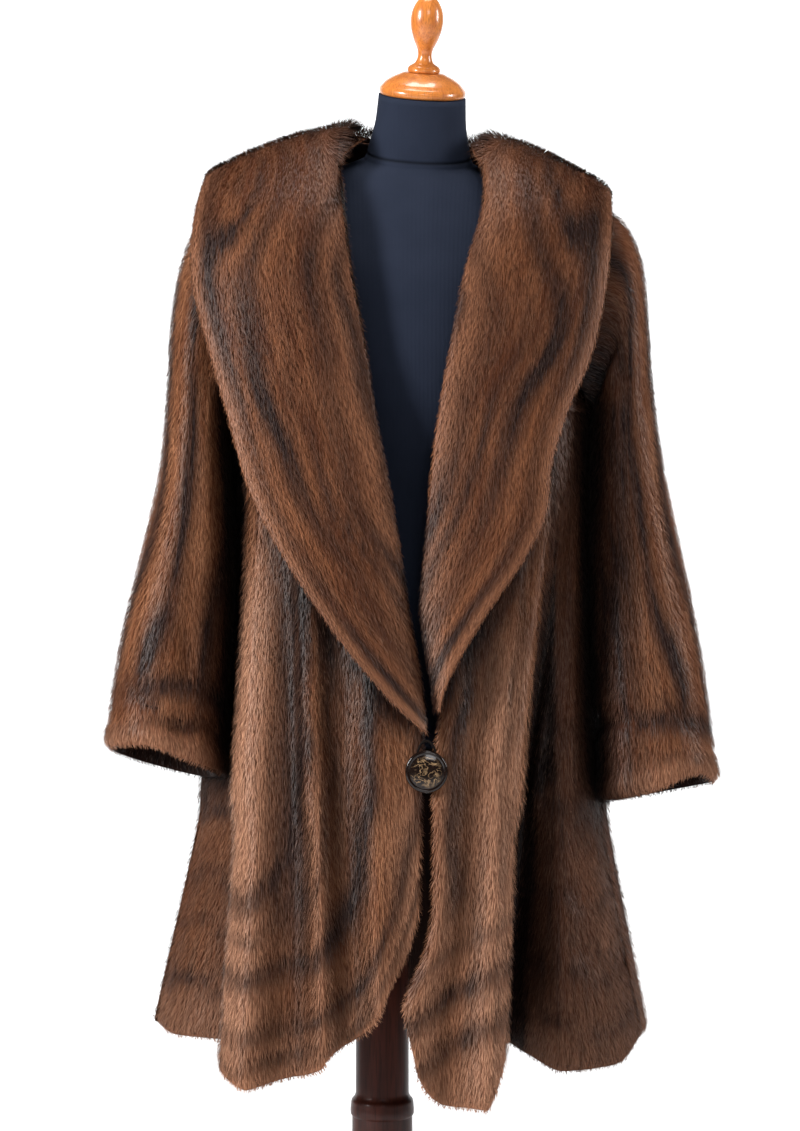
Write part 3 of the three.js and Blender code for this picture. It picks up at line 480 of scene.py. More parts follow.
def frontBands(name, panel, grid, places):
    front = fronts[name]
    x, z = grid[:, :, 0], grid[:, :, 2]
    end = panelLine(panel, front["lobe"], grid[:, 0, 2])[:, 0][:, None]
    inward = (end - x) * front["side"] + 4 * np.sin(z / 43) + 3 * np.sin(z / 17 + x / 29)
    if "bend" in front:
        turned = front["bend"] - (z - grid[0:1, :, 2]) + 6 * np.sin(x / 23)
        rounded = 26 * np.logaddexp(inward / 26, turned / 26)
        bands = bandsAt(rounded, front["bands"])
    else:
        level = z - 400 - front["slope"] * (x - 40) + 5 * np.sin(x / 19)
        lowDown = smoothStep(200, 140, level)
        bands = bandsAt(inward, front["hung"]) * (1 - lowDown) + bandsAt(level, front["slanted"]) * lowDown
    wave = 8 * np.sin(x / 31) + 6 * np.sin(grid[:, :, 1] / 17)
    # Painted shade on the sides: the creases crossing them and the shade under the sleeve
    sideShade = np.maximum(bandsAt(z + wave, front["across"]), front["groundShade"])
    inSide = smoothStep(front["lobe"] + 0.2, front["lobe"] + 1.4, np.array(places)[None, :])
    return bands * (1 - inSide) + sideShade * inSide


# Painted shade in the valleys between the folds, where the pile closes: the fold they follow, their half
# width in folds, their strength, and the heights between which they show
folds = {
    "front_right": [(3.2, 0.7, 0.5, 620, 1010), (5, 0.7, 0.95, 560, 1010), (7.9, 0.7, 1.0, 380, 1100)],
    "front_left": [(2, 0.4, 0.5, 560, 900), (5.1, 0.7, 1.0, 380, 1010)],
    "back": [(2, 0.35, 0.8, 380, 900), (4, 0.4, 0.8, 380, 950), (6, 0.4, 0.8, 380, 950),
             (8, 0.4, 0.8, 380, 900)],
}


# Painted highlight on the ridges that catch the light, given in the same way
ridges = {
    "front_right": [(6.5, 0.9, 1.0, 420, 960), (4.1, 0.5, 0.5, 420, 760), (0.8, 0.8, 0.7, 500, 720)],
    "front_left": [(3.1, 1.0, 1.0, 380, 880), (1.2, 0.6, 0.7, 380, 760), (9.3, 0.6, 0.4, 380, 640)],
    "back": [(5, 0.4, 0.5, 380, 900), (7, 0.4, 0.5, 380, 900)],
}


# How strongly each place lies in one of the folds of such a list
def foldField(rows, place, z, soft):
    field = np.zeros(z.shape)
    for fold, wide, strength, bottom, top in rows:
        shown = smoothStep(bottom - soft, bottom + soft, z) * smoothStep(top + soft, top - soft, z)
        field = np.maximum(field, np.exp(-(((place - fold) / wide) ** 2)) * strength * shown)
    return field


panelSteps = {"raise": 5, "edgeInset": 0.14, "skirtRows": 52, "armholeRows": 22, "yokeRows": 5}
# Heights between which the front edge draws back under the collar, and the sides close on the sleeves
panelLevels = {"drawBack": (806, 846), "closeFrom": (670, 720), "closeTo": (1168, 1132)}
# The back's pelts: their width and sway, the bands above its hem, and how much painted shade of the sleeves
# lies beside its side seams
backPelts = {"width": 62, "sway": 0.16, "bands": [(38, 13, 0.7), (104, 17, 0.6)], "seam": 0.6}


def panelSkin(name, panel, steps):
    count = len(panel["folds"]["across"]) - 1
    start = panelSteps["edgeInset"] if panel["edge"] else 0.01
    places = [start]
    if panel["edge"]:
        places += [start + d for d in (0.08, 0.2, 0.4)]
    places += [i / steps for i in range(1, count * steps) if i / steps > places[-1] + 0.1]
    places.append(count - 0.01)
    middle = (coat["armpit"] + coat["shoulder"]) / 2
    columns = []
    for place in places:
        across = acrossAt(panel, place)
        hem = float(readTable(panel["folds"], "across", across, "hemZ")) + panelSteps["raise"]
        hemRows = [hem + d for d in (0, 1.5, 4, 8)]
        skirt = np.linspace(hem + 14, coat["armpit"], panelSteps["skirtRows"])[:-1]
        turns = np.linspace(0, math.pi, panelSteps["armholeRows"] + 1)
        hole = middle - (middle - coat["armpit"]) * np.cos(turns)
        yokeRows = np.linspace(coat["shoulder"], topOf(panel, across), panelSteps["yokeRows"] + 1)[1:]
        levels = np.concatenate([hemRows, skirt, hole, yokeRows])
        line = panelLine(panel, place, levels)
        if panel["edge"] and place < 0.8:
            # Above the button the collar covers the edge, so the skin keeps further back there
            held = panelLine(panel, place + 0.3 * (1 - place / 0.8), levels)
            line = line + (held - line) * smoothStep(*panelLevels["drawBack"], levels)[:, None]
        columns.append(line)
    grid = np.stack(columns, axis=1)
    x, z = grid[:, :, 0], grid[:, :, 2]
    normals = gridNormals(grid, panel["outward"])
    deep, dark = creaseField(grid, creases[name])
    fromHem = z - z[0:1]
    depth = roundedDepth(fromHem)
    near = fromHem
    inside = 1 - smoothStep(6, 16, fromHem)
    flow = turnUnder(unit(-np.gradient(grid, axis=0)), normals, fromHem)
    if panel["edge"]:
        fromEdge = np.linalg.norm(grid - grid[:, 0:1], axis=-1)
        depth = np.maximum(depth, roundedDepth(fromEdge))
        near = np.minimum(fromHem, fromEdge)
        inside = np.maximum(inside, 1 - smoothStep(4, 12, fromEdge))
        toEdge = unit(grid[:, 0:1] - grid[:, 1:2])
        flow = unit(flow + 0.5 * toEdge * smoothStep(26, 4, fromEdge)[..., None])
    # The sides that face the sleeves lie nearly at the piece's full size, and the pile closes between
    between = smoothStep(*panelLevels["closeFrom"], z) * smoothStep(*panelLevels["closeTo"], z)
    beside = smoothStep(0.5, 0.85, np.abs(normals[..., 0])) * between * coat["closer"]["panel"]
    outer = grid - normals * (depth - beside + deep)[..., None]
    inner = grid - normals * (coat["pile"] + coat["skin"] + deep - beside)[..., None]
    row = int(np.argmin(np.abs(grid[:, count, 2] - coat["button"])))
    pace = np.linalg.norm(np.diff(grid[row], axis=0), axis=-1)
    distance = np.concatenate([[0], np.cumsum(pace)])
    placeRow = np.array(places)[None, :]
    if panel["edge"]:
        peltAndShade = frontBands(name, panel, grid, places)
    else:
        peltAndShade = peltPhase(distance[None, :], backPelts["width"], backPelts["sway"] * np.sin(z / 170))
        peltAndShade = peltAndShade * (1 - 0.55 * smoothStep(130, 40, fromHem))
        peltAndShade = np.maximum(peltAndShade, bandsAt(fromHem + 10 * np.sin(x / 38), backPelts["bands"]))
        # Painted shade of the sleeves on the back beside its side seams, under the arms
        fromSeam = smoothStep(2.2, 0.6, np.minimum(placeRow, count - placeRow))
        peltAndShade = np.maximum(peltAndShade, backPelts["seam"] * fromSeam * smoothStep(1130, 900, z))
    # Painted shade in the valleys between the folds
    peltAndShade = np.maximum(peltAndShade, foldField(folds[name], placeRow, z, 50))
    # Painted highlight on the ridges and along the hem's edge
    lit = np.maximum(foldField(ridges[name], placeRow, z, 60), 0.5 * smoothStep(110, 15, fromHem))
    along = lengthDown(grid)
    lay = np.stack([np.broadcast_to(distance, along.shape), 0 * along, along], axis=-1)
    addSkin(name, outer, inner, flow, near, inside, peltAndShade, dark, lay, lit)


panelSkin("back", back, 8)
panelSkin("front_left", leftFront, 5)
panelSkin("front_right", rightFront, 5)
print("panels", {name: len(mesh.polygons) for name, mesh in skins.items()})


# The sleeves' painted shade: between which X the side turned to the body is painted darker and how
# strongly; and the cuff lip's middle, half width and height
sleeveShade = {"left": {"from": (306, 256), "strength": 0.85, "lip": (342, 34, 11)},
               "right": {"from": (196, 164), "strength": 0.4, "lip": (-246, 36, 6)}}
sleeveSteps = {"around": 56, "rows": 62, "raise": 5, "facing": 0.86, "facingSkin": 3, "rolled": 5}
# The sleeves' pelts: about how wide, and the bands round the cuff
sleevePelts = {"width": 66, "bands": [(70, 17, 0.95), (31, 8, 0.6)]}


# The front of the cuff arches up a little, so the dark inside shows under it
def liftLip(name, grid):
    x, wide, high = sleeveShade[name]["lip"]
    away = np.linalg.norm(grid - grid[-1:], axis=-1)
    forward = smoothStep(-70, -110, grid[:, :, 1])
    grid[:, :, 2] += high * np.exp(-(((grid[:, :, 0] - x) / wide) ** 2)) * forward * smoothStep(75, 0, away)


def sleeveSkins(name, side, rings):
    around = sleeveSteps["around"]
    turn = np.linspace(0, 2 * math.pi, around, endpoint=False)
    middle = (coat["armpit"] + coat["shoulder"]) / 2
    half = (coat["shoulder"] - coat["armpit"]) / 2
    armhole = yokePoint(middle + half * np.cos(turn), side * (90 - coat["armholeSpread"] * np.sin(turn)))
    armhole[:, 0] += side * (coat["clearance"] + 0.4)
    chain = [armhole]
    for i in range(len(rings["outX"])):
        ring = {key: rings[key][i] for key in rings}
        lengthwise, forward = np.cos(turn), np.sin(turn)
        chain.append(np.stack([
            (ring["outX"] + ring["inX"]) / 2 + (ring["outX"] - ring["inX"]) / 2 * lengthwise,
            ring["y"] - ring["depth"] * forward,
            (ring["outZ"] + ring["inZ"]) / 2 + (ring["outZ"] - ring["inZ"]) / 2 * lengthwise
            + ring["rise"] * forward], axis=-1))
    last = len(chain) - 1
    reach = np.mean(np.linalg.norm(chain[last] - chain[last - 1], axis=-1))
    end = last - sleeveSteps["raise"] / reach
    places = np.concatenate([np.linspace(0, end - 12 / reach, sleeveSteps["rows"]),
                             [end - 7 / reach, end - 3 / reach, end - 1 / reach, end]])
    grid = np.stack([throughPoints(chain, place) for place in places])
    liftLip(name, grid)
    normals = gridNormals(grid, -side, True)
    deep, dark = creaseField(grid, creases[f"sleeve_{name}"])
    fromCuff = np.linalg.norm(grid - grid[-1:], axis=-1)
    beside = smoothStep(0.4, 0.85, -side * normals[..., 0]) * coat["closer"][name]
    rolled = sleeveSteps["rolled"] * np.exp(-(((fromCuff - 15) / 11) ** 2))
    outer = grid - normals * (roundedDepth(fromCuff) + deep - beside - rolled)[..., None]
    inner = grid - normals * (coat["pile"] + coat["skin"] + deep - beside)[..., None]
    flow = turnUnder(unit(np.gradient(grid, axis=0)), normals, fromCuff)
    row = len(places) // 2
    pace = np.linalg.norm(np.roll(grid[row], -1, axis=0) - grid[row], axis=-1)
    distance = np.concatenate([[0], np.cumsum(pace)[:-1]])
    width = pace.sum() / round(pace.sum() / sleevePelts["width"])
    along = lengthDown(grid)
    sway = 0.22 * np.sin(along / 95 + distance[None, :] / 60) + 0.1 * np.sin(along / 37)
    peltAndShade = peltPhase(distance[None, :], width, sway) * smoothStep(25, 90, fromCuff)
    level = fromCuff + 12 * np.sin(distance[None, :] / 34)
    peltAndShade = np.maximum(peltAndShade, bandsAt(level, sleevePelts["bands"]))
    radius = pace.sum() / (2 * math.pi)
    lay = np.stack([np.broadcast_to(radius * np.cos(turn), along.shape),
                    np.broadcast_to(radius * np.sin(turn), along.shape), along], axis=-1)
    # Painted shade on the side turned to the body
    shade = sleeveShade[name]
    bodySide = smoothStep(*shade["from"], side * grid[:, :, 0]) * smoothStep(1310, 1200, grid[:, :, 2])
    peltAndShade = np.maximum(peltAndShade, shade["strength"] * bodySide)
    # Painted highlight on the rolled cuff
    lit = 0.5 * np.exp(-(((fromCuff - 14) / 14) ** 2))
    addSkin(f"sleeve_{name}", outer, inner, flow, fromCuff, 0 * fromCuff, peltAndShade, dark, lay, lit, True)
    # The fur turned up inside the cuff, painted dark as the shade inside it
    shares = np.linspace(last - sleeveSteps["facing"], end, 14)
    turned = np.stack([throughPoints(chain, place) for place in shares])
    liftLip(name, turned)
    normals = gridNormals(turned, -side, True)
    face = coat["pile"] + coat["skin"] + 2 * coat["clearance"]
    outer = turned - normals * face
    inner = turned - normals * (face + sleeveSteps["facingSkin"])
    flow = unit(-np.gradient(turned, axis=0))
    ones = np.ones(turned.shape[:2])
    # A distance below zero keeps its outer side bare: the sleeve's own fur lies there
    addSkin(f"cuff_facing_{name}", outer, inner, flow, -9 * ones, ones, 0.9 * ones, 0.9 * ones,
            turned, 0 * ones, True)


sleeveSkins("left", 1, leftSleeveRings)
sleeveSkins("right", -1, rightSleeveRings)


collarSteps = {"perRow": 5, "across": 22, "inset": 7, "startInset": 3, "fan": 52}
# Dark bands of the collar halves: how far inside the free edge each runs, half width and strength
collarBands = {
    "left": [(-34, 11, 0.8), (-8, 9, 0.8), (20, 9, 0.95), (53, 15, 1.0), (86, 10, 0.8), (115, 16, 1.0),
             (150, 11, 0.85), (181, 15, 1.0), (212, 12, 0.8)],
    "right": [(-32, 11, 0.8), (-6, 10, 0.8), (20, 9, 0.95), (54, 16, 1.0), (88, 10, 0.75), (118, 17, 1.0),
              (154, 12, 0.95), (186, 11, 0.85), (216, 14, 0.9)],
}


def collarSkin(name, panel, side, rows):
    seat = coat["collarSeat"][name]
    starts = []
    for z, turn in zip(rows["z"], rows["turn"]):
        if turn < 0:
            place = panelLine(panel, 0, np.float64(z))
            beside = panelLine(panel, 0.2, np.float64(z)) - place
            above = panelLine(panel, 0, np.float64(z + 4)) - place
            out = unit(np.cross(above, beside)) * panel["outward"]
            starts.append(place + out * seat)
        else:
            rise = coat["backNeckRise"] * max(0, math.sin(math.radians(turn - 90)))
            level = np.float64(coat["neckline"] + rise)
            place = yokePoint(level, side * turn)
            beside = yokePoint(level, side * (turn + 3)) - place
            below = yokePoint(level - 4, side * turn) - place
            out = unit(np.cross(below, beside)) * side
            starts.append(place + out * (seat + coat["neckLift"]))
    edges = list(np.stack([rows["edgeX"], rows["edgeY"], rows["edgeZ"]], axis=-1))
    last = len(edges) - 1
    crowns = {"at": np.arange(last + 1.0), "crown": rows["crown"]}
    count = last * collarSteps["perRow"]
    middle, halves, edgeGap, startGap = [], [], [], []
    for i in range(count + 1):
        place = min(max(i / collarSteps["perRow"], 0.12), last - 0.01)
        start, end = throughPoints(starts, place), throughPoints(edges, place)
        width = np.linalg.norm(end - start)
        inset = min(collarSteps["inset"], width * 0.3)
        begin = min(collarSteps["startInset"], width * 0.15)
        t = np.linspace(0, math.pi, collarSteps["across"])
        distance = begin + (width - inset - begin) * (1 - np.cos(t)) / 2
        share = distance / width
        after, before = min(place + 0.1, last), max(place - 0.1, 0)
        along = (throughPoints(starts, after) + throughPoints(edges, after)
                 - (throughPoints(starts, before) + throughPoints(edges, before)))
        lift = unit(np.cross(along, end - start)) * -side
        crown = float(readTable(crowns, "at", place, "crown"))
        rise = crown * (4 * share * (1 - share)) ** 0.7
        middle.append(start + (end - start) * share[:, None] + lift * rise[:, None])
        near = np.minimum(distance - begin, width - inset - distance)
        halves.append(coat["collarSkin"] * np.sqrt(1 - (1 - np.clip(near / 3, 0, 1)) ** 2) + 0.3)
        edgeGap.append(width - inset - distance)
        startGap.append(distance)
    grid = np.stack(middle)
    halves, edgeGap, startGap = np.stack(halves), np.stack(edgeGap), np.stack(startGap)
    normals = gridNormals(grid, -side)
    deep, dark = creaseField(grid, creases[f"collar_{name}"])
    centre = grid - normals * deep[..., None]
    outer = centre + normals * halves[..., None]
    inner = centre - normals * halves[..., None]
    # Pelts run along the free edge, from the centre back over the shoulder down to the tip
    step = np.concatenate([[0], np.cumsum(np.linalg.norm(np.diff(grid[:, -1], axis=0), axis=-1))])
    along = np.broadcast_to(step[:, None], edgeGap.shape)
    wander = 7 * np.sin(along / 61 + edgeGap / 47) + 4 * np.sin(along / 23 + 1.3)
    # Over the shoulder the bands fan out
    fan = collarSteps["fan"] * smoothStep(1225, 1405, grid[:, :, 2])
    bandPlace = edgeGap + (wander - fan) * smoothStep(10, 60, edgeGap)
    down = np.array([0, 0, -1.0]) + normals * normals[..., 2:3]
    fromBack = smoothStep(step[-1] - 330, step[-1] - 120, along)[..., None]
    towardsTip = -unit(np.gradient(grid, axis=0))
    flow = unit(towardsTip * (1 - 0.8 * fromBack) + (0.35 + 0.9 * fromBack) * down)
    # Beside the neck long hairs stand in, painted dark as shade, with no painted highlight
    beyond = smoothStep(1385, 1425, grid[:, :1, 2])
    rim = beyond * (1 - smoothStep(4, 26, startGap))
    towardsNeck = np.maximum((1 - smoothStep(2, 14, startGap)) * 0.12, rim)[..., None]
    flow = unit(flow * (1 - 0.7 * towardsNeck) - unit(np.gradient(grid, axis=1)) * towardsNeck)
    peltAndShade = bandsAt(bandPlace, collarBands[name]) * (0.75 + 0.25 * np.sin(along / 83 + bandPlace / 19))
    lay = np.stack([edgeGap, 0 * along, along], axis=-1)
    under = np.maximum(1 - smoothStep(4, 22, edgeGap), 1 - smoothStep(4, 14, startGap))
    # Painted highlight along the free edge and along the roll
    lit = 0.5 * np.exp(-(((edgeGap - 5) / 9) ** 2)) + 0.5 * np.exp(-(((startGap - 14) / 16) ** 2))
    addSkin(f"collar_{name}", outer, inner, flow, np.minimum(edgeGap, startGap), under, peltAndShade,
            np.maximum(dark, 0.75 * rim), lay, lit * (1 - rim), longer=1.2 * rim)


collarSkin("left", leftFront, 1, leftCollarRows)
collarSkin("right", rightFront, -1, rightCollarRows)
print("skins", {name: len(mesh.polygons) for name, mesh in skins.items()})


# Node trees. Shared effects are groups, and everything is read in object coordinates or from attributes.
def setInputs(tree, made, inputs):
    for socket, value in inputs.items():
        if isinstance(value, (int, float, tuple, str)):
            made.inputs[socket].default_value = value
        else:
            tree.links.new(value, made.inputs[socket])


def node(tree, kind, inputs=None, **settings):
    made = tree.nodes.new(kind)
    for key, value in settings.items():
        setattr(made, key, value)
    setInputs(tree, made, inputs or {})
    return made


def mixColor(tree, factor, first, second, blend="MIX"):
    return node(tree, "ShaderNodeMix", {0: factor, 6: first, 7: second}, data_type="RGBA",
                blend_type=blend, clamp_factor=True).outputs[2]


def timesColor(tree, first, second):
    return mixColor(tree, 1.0, first, second, "MULTIPLY")


def greyColor(tree, value):
    return node(tree, "ShaderNodeCombineColor", {0: value, 1: value, 2: value}).outputs[0]


def mathNode(tree, operation, first, second=0.0, third=0.0, clamp=False):
    return node(tree, "ShaderNodeMath", {0: first, 1: second, 2: third}, operation=operation,
                use_clamp=clamp).outputs[0]


def times(tree, first, second):
    return mathNode(tree, "MULTIPLY", first, second)


# (value - middle) * factor + added
def spreadOut(tree, value, middle, factor, added, clamp=False):
    return mathNode(tree, "MULTIPLY_ADD", mathNode(tree, "SUBTRACT", value, middle), factor, added, clamp)


def vectorMath(tree, operation, inputs, output=0):
    return node(tree, "ShaderNodeVectorMath", inputs, operation=operation).outputs[output]


def attribute(tree, name, output="Fac"):
    made = node(tree, "ShaderNodeAttribute", attribute_type="GEOMETRY", attribute_name=name)
    return made.outputs[output]


def objectPlace(tree):
    return node(tree, "ShaderNodeTexCoord").outputs["Object"]


def noise(tree, scale, detail=2.0, vector=None, roughness=0.5, distortion=0.0):
    return node(tree, "ShaderNodeTexNoise", {
        "Scale": scale, "Detail": detail, "Roughness": roughness, "Distortion": distortion,
        "Vector": vector or objectPlace(tree)}).outputs["Fac"]


def stretched(tree, scale, vector=None):
    return node(tree, "ShaderNodeMapping", {
        "Scale": scale, "Vector": vector or objectPlace(tree)}).outputs["Vector"]


def bumped(tree, height, strength, distance):
    return node(tree, "ShaderNodeBump", {
        "Strength": strength, "Distance": distance, "Height": height}).outputs["Normal"]


# The fur's colour before it goes from root to tip: broad bands, patches and streaks, with painted shade and
# painted highlight
def furColorGroup():
    group = bpy.data.node_groups.new("fur colour", "ShaderNodeTree")
    for label, kind, value in (("Light", "NodeSocketColor", (0.46, 0.195, 0.09, 1)),
                               ("Middle", "NodeSocketColor", (0.19, 0.066, 0.026, 1)),
                               ("Dark", "NodeSocketColor", (0.032, 0.0135, 0.0095, 1)),
                               ("Band", "NodeSocketFloat", 1.0)):
        socket = group.interface.new_socket(label, in_out="INPUT", socket_type=kind)
        socket.default_value = value
    group.interface.new_socket("Color", in_out="OUTPUT", socket_type="NodeSocketColor")
    group.interface.new_socket("Depth", in_out="OUTPUT", socket_type="NodeSocketFloat")
    given = node(group, "NodeGroupInput").outputs
    lay = attribute(group, "lay", "Vector")
    patches = noise(group, 9, 2)
    locks = noise(group, 1, 2, stretched(group, (110, 110, 9), lay), 0.55)
    strands = noise(group, 1, 3, stretched(group, (700, 700, 45), lay), 0.6)
    # How dark the pelt bands and the painted shade make a place: the bands fade in patches and fray along
    # the locks
    patchy = spreadOut(group, patches, 0.3, 2.4, 0.62, True)
    banded = times(group, times(group, attribute(group, "peltAndShade"), patchy), given["Band"])
    banded = spreadOut(group, locks, 0.5, 1.1, banded)
    depth = mathNode(group, "MAXIMUM", banded, attribute(group, "dark"), 0, True)
    lightness = spreadOut(group, locks, 0.5, 2.6, spreadOut(group, patches, 0.5, 1.4, 0.35), True)
    color = mixColor(group, lightness, given["Middle"], given["Light"])
    # Painted highlight: where lit is set, on ridges and edges, the fur is paler and cooler
    lit = attribute(group, "lit")
    pale = timesColor(group, given["Light"], (1.14, 1.36, 1.75, 1))
    color = mixColor(group, times(group, lit, 0.9), color, pale)
    keep = mathNode(group, "MULTIPLY_ADD", lit, -0.22, 1.0)
    depth = mathNode(group, "MULTIPLY", depth, keep, 0, True)
    shaded = mixColor(group, depth, color, given["Dark"])
    shaded = timesColor(group, shaded, greyColor(group, spreadOut(group, strands, 0.5, 0.8, 1.0)))
    # Places shut in between folds lose their light
    shut = timesColor(group, shaded, (0.08, 0.06, 0.06, 1))
    shaded = mixColor(group, attribute(group, "hollow"), shaded, shut)
    node(group, "NodeGroupOutput", {"Color": shaded, "Depth": depth})
    return group


furColor = furColorGroup()


def newMaterial(name):
    material = bpy.data.materials.new(name)
    material.use_nodes = True
    return material, material.node_tree, material.node_tree.nodes["Principled BSDF"]


def furMaterial(name, base=None):
    material, tree, shader = newMaterial(name)
    pelts = node(tree, "ShaderNodeGroup", base, node_tree=furColor).outputs
    reach, tone = attribute(tree, "reach"), attribute(tree, "tone")
    # Darker at the root, and each hair of its own tone
    root = timesColor(tree, pelts["Color"], (0.74, 0.68, 0.66, 1))
    color = mixColor(tree, mathNode(tree, "MULTIPLY", reach, 1.9, 0, True), root, pelts["Color"])
    color = timesColor(tree, color, greyColor(tree, mathNode(tree, "MULTIPLY_ADD", tone, 0.24, 0.88)))
    # Painted sheen: dark pelt centres and painted shade get cool, silvery tips
    coolSheen = times(tree, times(tree, reach, pelts["Depth"]), 0.12)
    color = mixColor(tree, coolSheen, color, (0.085, 0.07, 0.075, 1))
    # A few guard hairs end in a frosty tip
    guard = mathNode(tree, "MULTIPLY_ADD", tone, 5.0, -3.6, True)
    tip = times(tree, mathNode(tree, "MULTIPLY_ADD", reach, 2.2, -1.0, True), guard)
    color = mixColor(tree, times(tree, tip, 0.3), color, (0.44, 0.27, 0.18, 1))
    # Light runs over the pile as over one soft surface, with a part of each hair's own turn
    soft = node(tree, "ShaderNodeMix", {
        0: 0.78, 4: node(tree, "ShaderNodeNewGeometry").outputs["Normal"],
        5: attribute(tree, "skinNormal", "Vector")}, data_type="VECTOR").outputs[1]
    setInputs(tree, shader, {
        "Base Color": color, "Roughness": 0.45, "Specular IOR Level": 0.2, "Sheen Weight": 0.04,
        "Sheen Roughness": 0.35, "Sheen Tint": (0.7, 0.5, 0.4, 1),
        "Normal": vectorMath(tree, "NORMALIZE", {0: soft})})
    return material


# The skin under the hairs: the fur's colours darkened, for the underfur and for painted shade under the
# pile
def skinMaterial(name):
    material, tree, shader = newMaterial(name)
    pelts = node(tree, "ShaderNodeGroup", node_tree=furColor).outputs
    grain = noise(tree, 1, 3, stretched(tree, (900, 900, 40), attribute(tree, "lay", "Vector")))
    setInputs(tree, shader, {
        "Base Color": timesColor(tree, pelts["Color"], (0.62, 0.56, 0.56, 1)), "Roughness": 0.85,
        "Specular IOR Level": 0.15, "Normal": bumped(tree, grain, 0.6, 0.002)})
    return material


furBrown = furMaterial("brown fur")
furCollar = furMaterial("brown collar fur", {
    "Light": (0.42, 0.155, 0.062, 1), "Middle": (0.13, 0.039, 0.014, 1), "Band": 1.12})
underFur = skinMaterial("fur skin")

# One hair: a narrow bent leaf of unit height, its tip curved towards the skin
bladeMesh = meshFrom("hair", [(0, 0, 0), (-0.5, 0.02, 0.42), (0.5, 0.02, 0.42), (0, 0.2, 1)],
                     [(0, 2, 1), (1, 2, 3)])
setFloats(bladeMesh, "reach", [0, 0.42, 0.42, 1])
blade = bpy.data.objects.new("hair", bladeMesh)
scene.collection.objects.link(blade)


# Grows hairs on a skin along its combed direction, with ruffles that part and clump them
def furTree():
    tree = bpy.data.node_groups.new("fur", "GeometryNodeTree")
    face = tree.interface
    face.new_socket("Skin", in_out="INPUT", socket_type="NodeSocketGeometry")
    for label, kind, value in (
            ("Hair", "NodeSocketObject", None), ("Density", "NodeSocketFloat", 200000.0),
            ("Length", "NodeSocketFloat", 0.0125), ("Width", "NodeSocketFloat", 0.0007),
            ("Lean", "NodeSocketFloat", 1.22), ("Roll", "NodeSocketFloat", 0.5),
            ("Ruffle", "NodeSocketFloat", 0.1), ("Seed", "NodeSocketInt", 1),
            ("Material", "NodeSocketMaterial", None)):
        socket = face.new_socket(label, in_out="INPUT", socket_type=kind)
        if value is not None:
            socket.default_value = value
    face.new_socket("Fur", in_out="OUTPUT", socket_type="NodeSocketGeometry")
    given = node(tree, "NodeGroupInput").outputs

    def named(label, kind="FLOAT"):
        made = node(tree, "GeometryNodeInputNamedAttribute", {"Name": label}, data_type=kind)
        return made.outputs["Attribute"]

    def store(geometry, label, kind, value):
        return node(tree, "GeometryNodeStoreNamedAttribute", {
            "Geometry": geometry, "Name": label, "Value": value}, data_type=kind, domain="POINT").outputs[0]

    def scaled(vector, amount):
        return vectorMath(tree, "SCALE", {0: vector, "Scale": amount})

    def summed(first, second):
        return vectorMath(tree, "ADD", {0: first, 1: second})

    def randomBetween(low, high, seed):
        return node(tree, "FunctionNodeRandomValue", {2: low, 3: high, "Seed": seed},
                    data_type="FLOAT").outputs[1]

    def swirl(scale, detail):
        turned = node(tree, "ShaderNodeTexNoise", {
            "Scale": scale, "Detail": detail, "Vector": node(tree, "GeometryNodeInputPosition").outputs[0]})
        return vectorMath(tree, "SUBTRACT", {0: turned.outputs["Color"], 1: (0.5, 0.5, 0.5)})

    spread = node(tree, "GeometryNodeDistributePointsOnFaces", {
        "Mesh": given["Skin"], "Density": times(tree, named("cover"), given["Density"]),
        "Seed": given["Seed"]}, distribute_method="RANDOM").outputs
    # Which way each hair points: off the skin, along the flow, and a little astray
    lean = mathNode(tree, "ADD", given["Lean"], randomBetween(-0.42, 0.14, 3))
    up = scaled(spread["Normal"], mathNode(tree, "COSINE", lean))
    along = scaled(named("flow", "FLOAT_VECTOR"), mathNode(tree, "SINE", lean))
    ruffles = summed(scaled(swirl(28, 1), 2.2), scaled(swirl(170, 2), 1.5))
    way = summed(summed(up, along), scaled(ruffles, given["Ruffle"]))
    rise = node(tree, "FunctionNodeAlignRotationToVector", {"Vector": way}, axis="Z").outputs[0]
    bend = node(tree, "FunctionNodeAlignRotationToVector", {
        "Rotation": rise, "Vector": scaled(spread["Normal"], -1.0)}, axis="Y", pivot_axis="Z").outputs[0]
    roll = times(tree, given["Roll"], randomBetween(-1, 1, 5))
    twist = node(tree, "ShaderNodeCombineXYZ", {"Z": roll}).outputs[0]
    turn = node(tree, "FunctionNodeEulerToRotation", {0: twist}).outputs[0]
    rotation = node(tree, "FunctionNodeRotateRotation", {0: bend, 1: turn},
                    rotation_space="LOCAL").outputs[0]
    length = times(tree, times(tree, given["Length"], named("trim")), randomBetween(0.7, 1.15, 7))
    width = times(tree, given["Width"], randomBetween(0.7, 1.25, 9))
    size = node(tree, "ShaderNodeCombineXYZ", {0: width, 1: length, 2: length}).outputs[0]
    points = store(spread["Points"], "skinNormal", "FLOAT_VECTOR", spread["Normal"])
    points = store(points, "tone", "FLOAT", randomBetween(0, 1, 11))
    hair = node(tree, "GeometryNodeObjectInfo", {"Object": given["Hair"]}).outputs["Geometry"]
    grown = node(tree, "GeometryNodeInstanceOnPoints", {
        "Points": points, "Instance": hair, "Rotation": rotation, "Scale": size}).outputs[0]
    grown = node(tree, "GeometryNodeRealizeInstances", {0: grown}).outputs[0]
    grown = node(tree, "GeometryNodeSetMaterial", {
        "Geometry": grown, "Material": given["Material"]}).outputs[0]
    for label in ("flow", "cover", "trim"):
        grown = node(tree, "GeometryNodeRemoveAttribute", {"Geometry": grown, "Name": label}).outputs[0]
    node(tree, "NodeGroupOutput", {0: grown})
    return tree


fur = furTree()


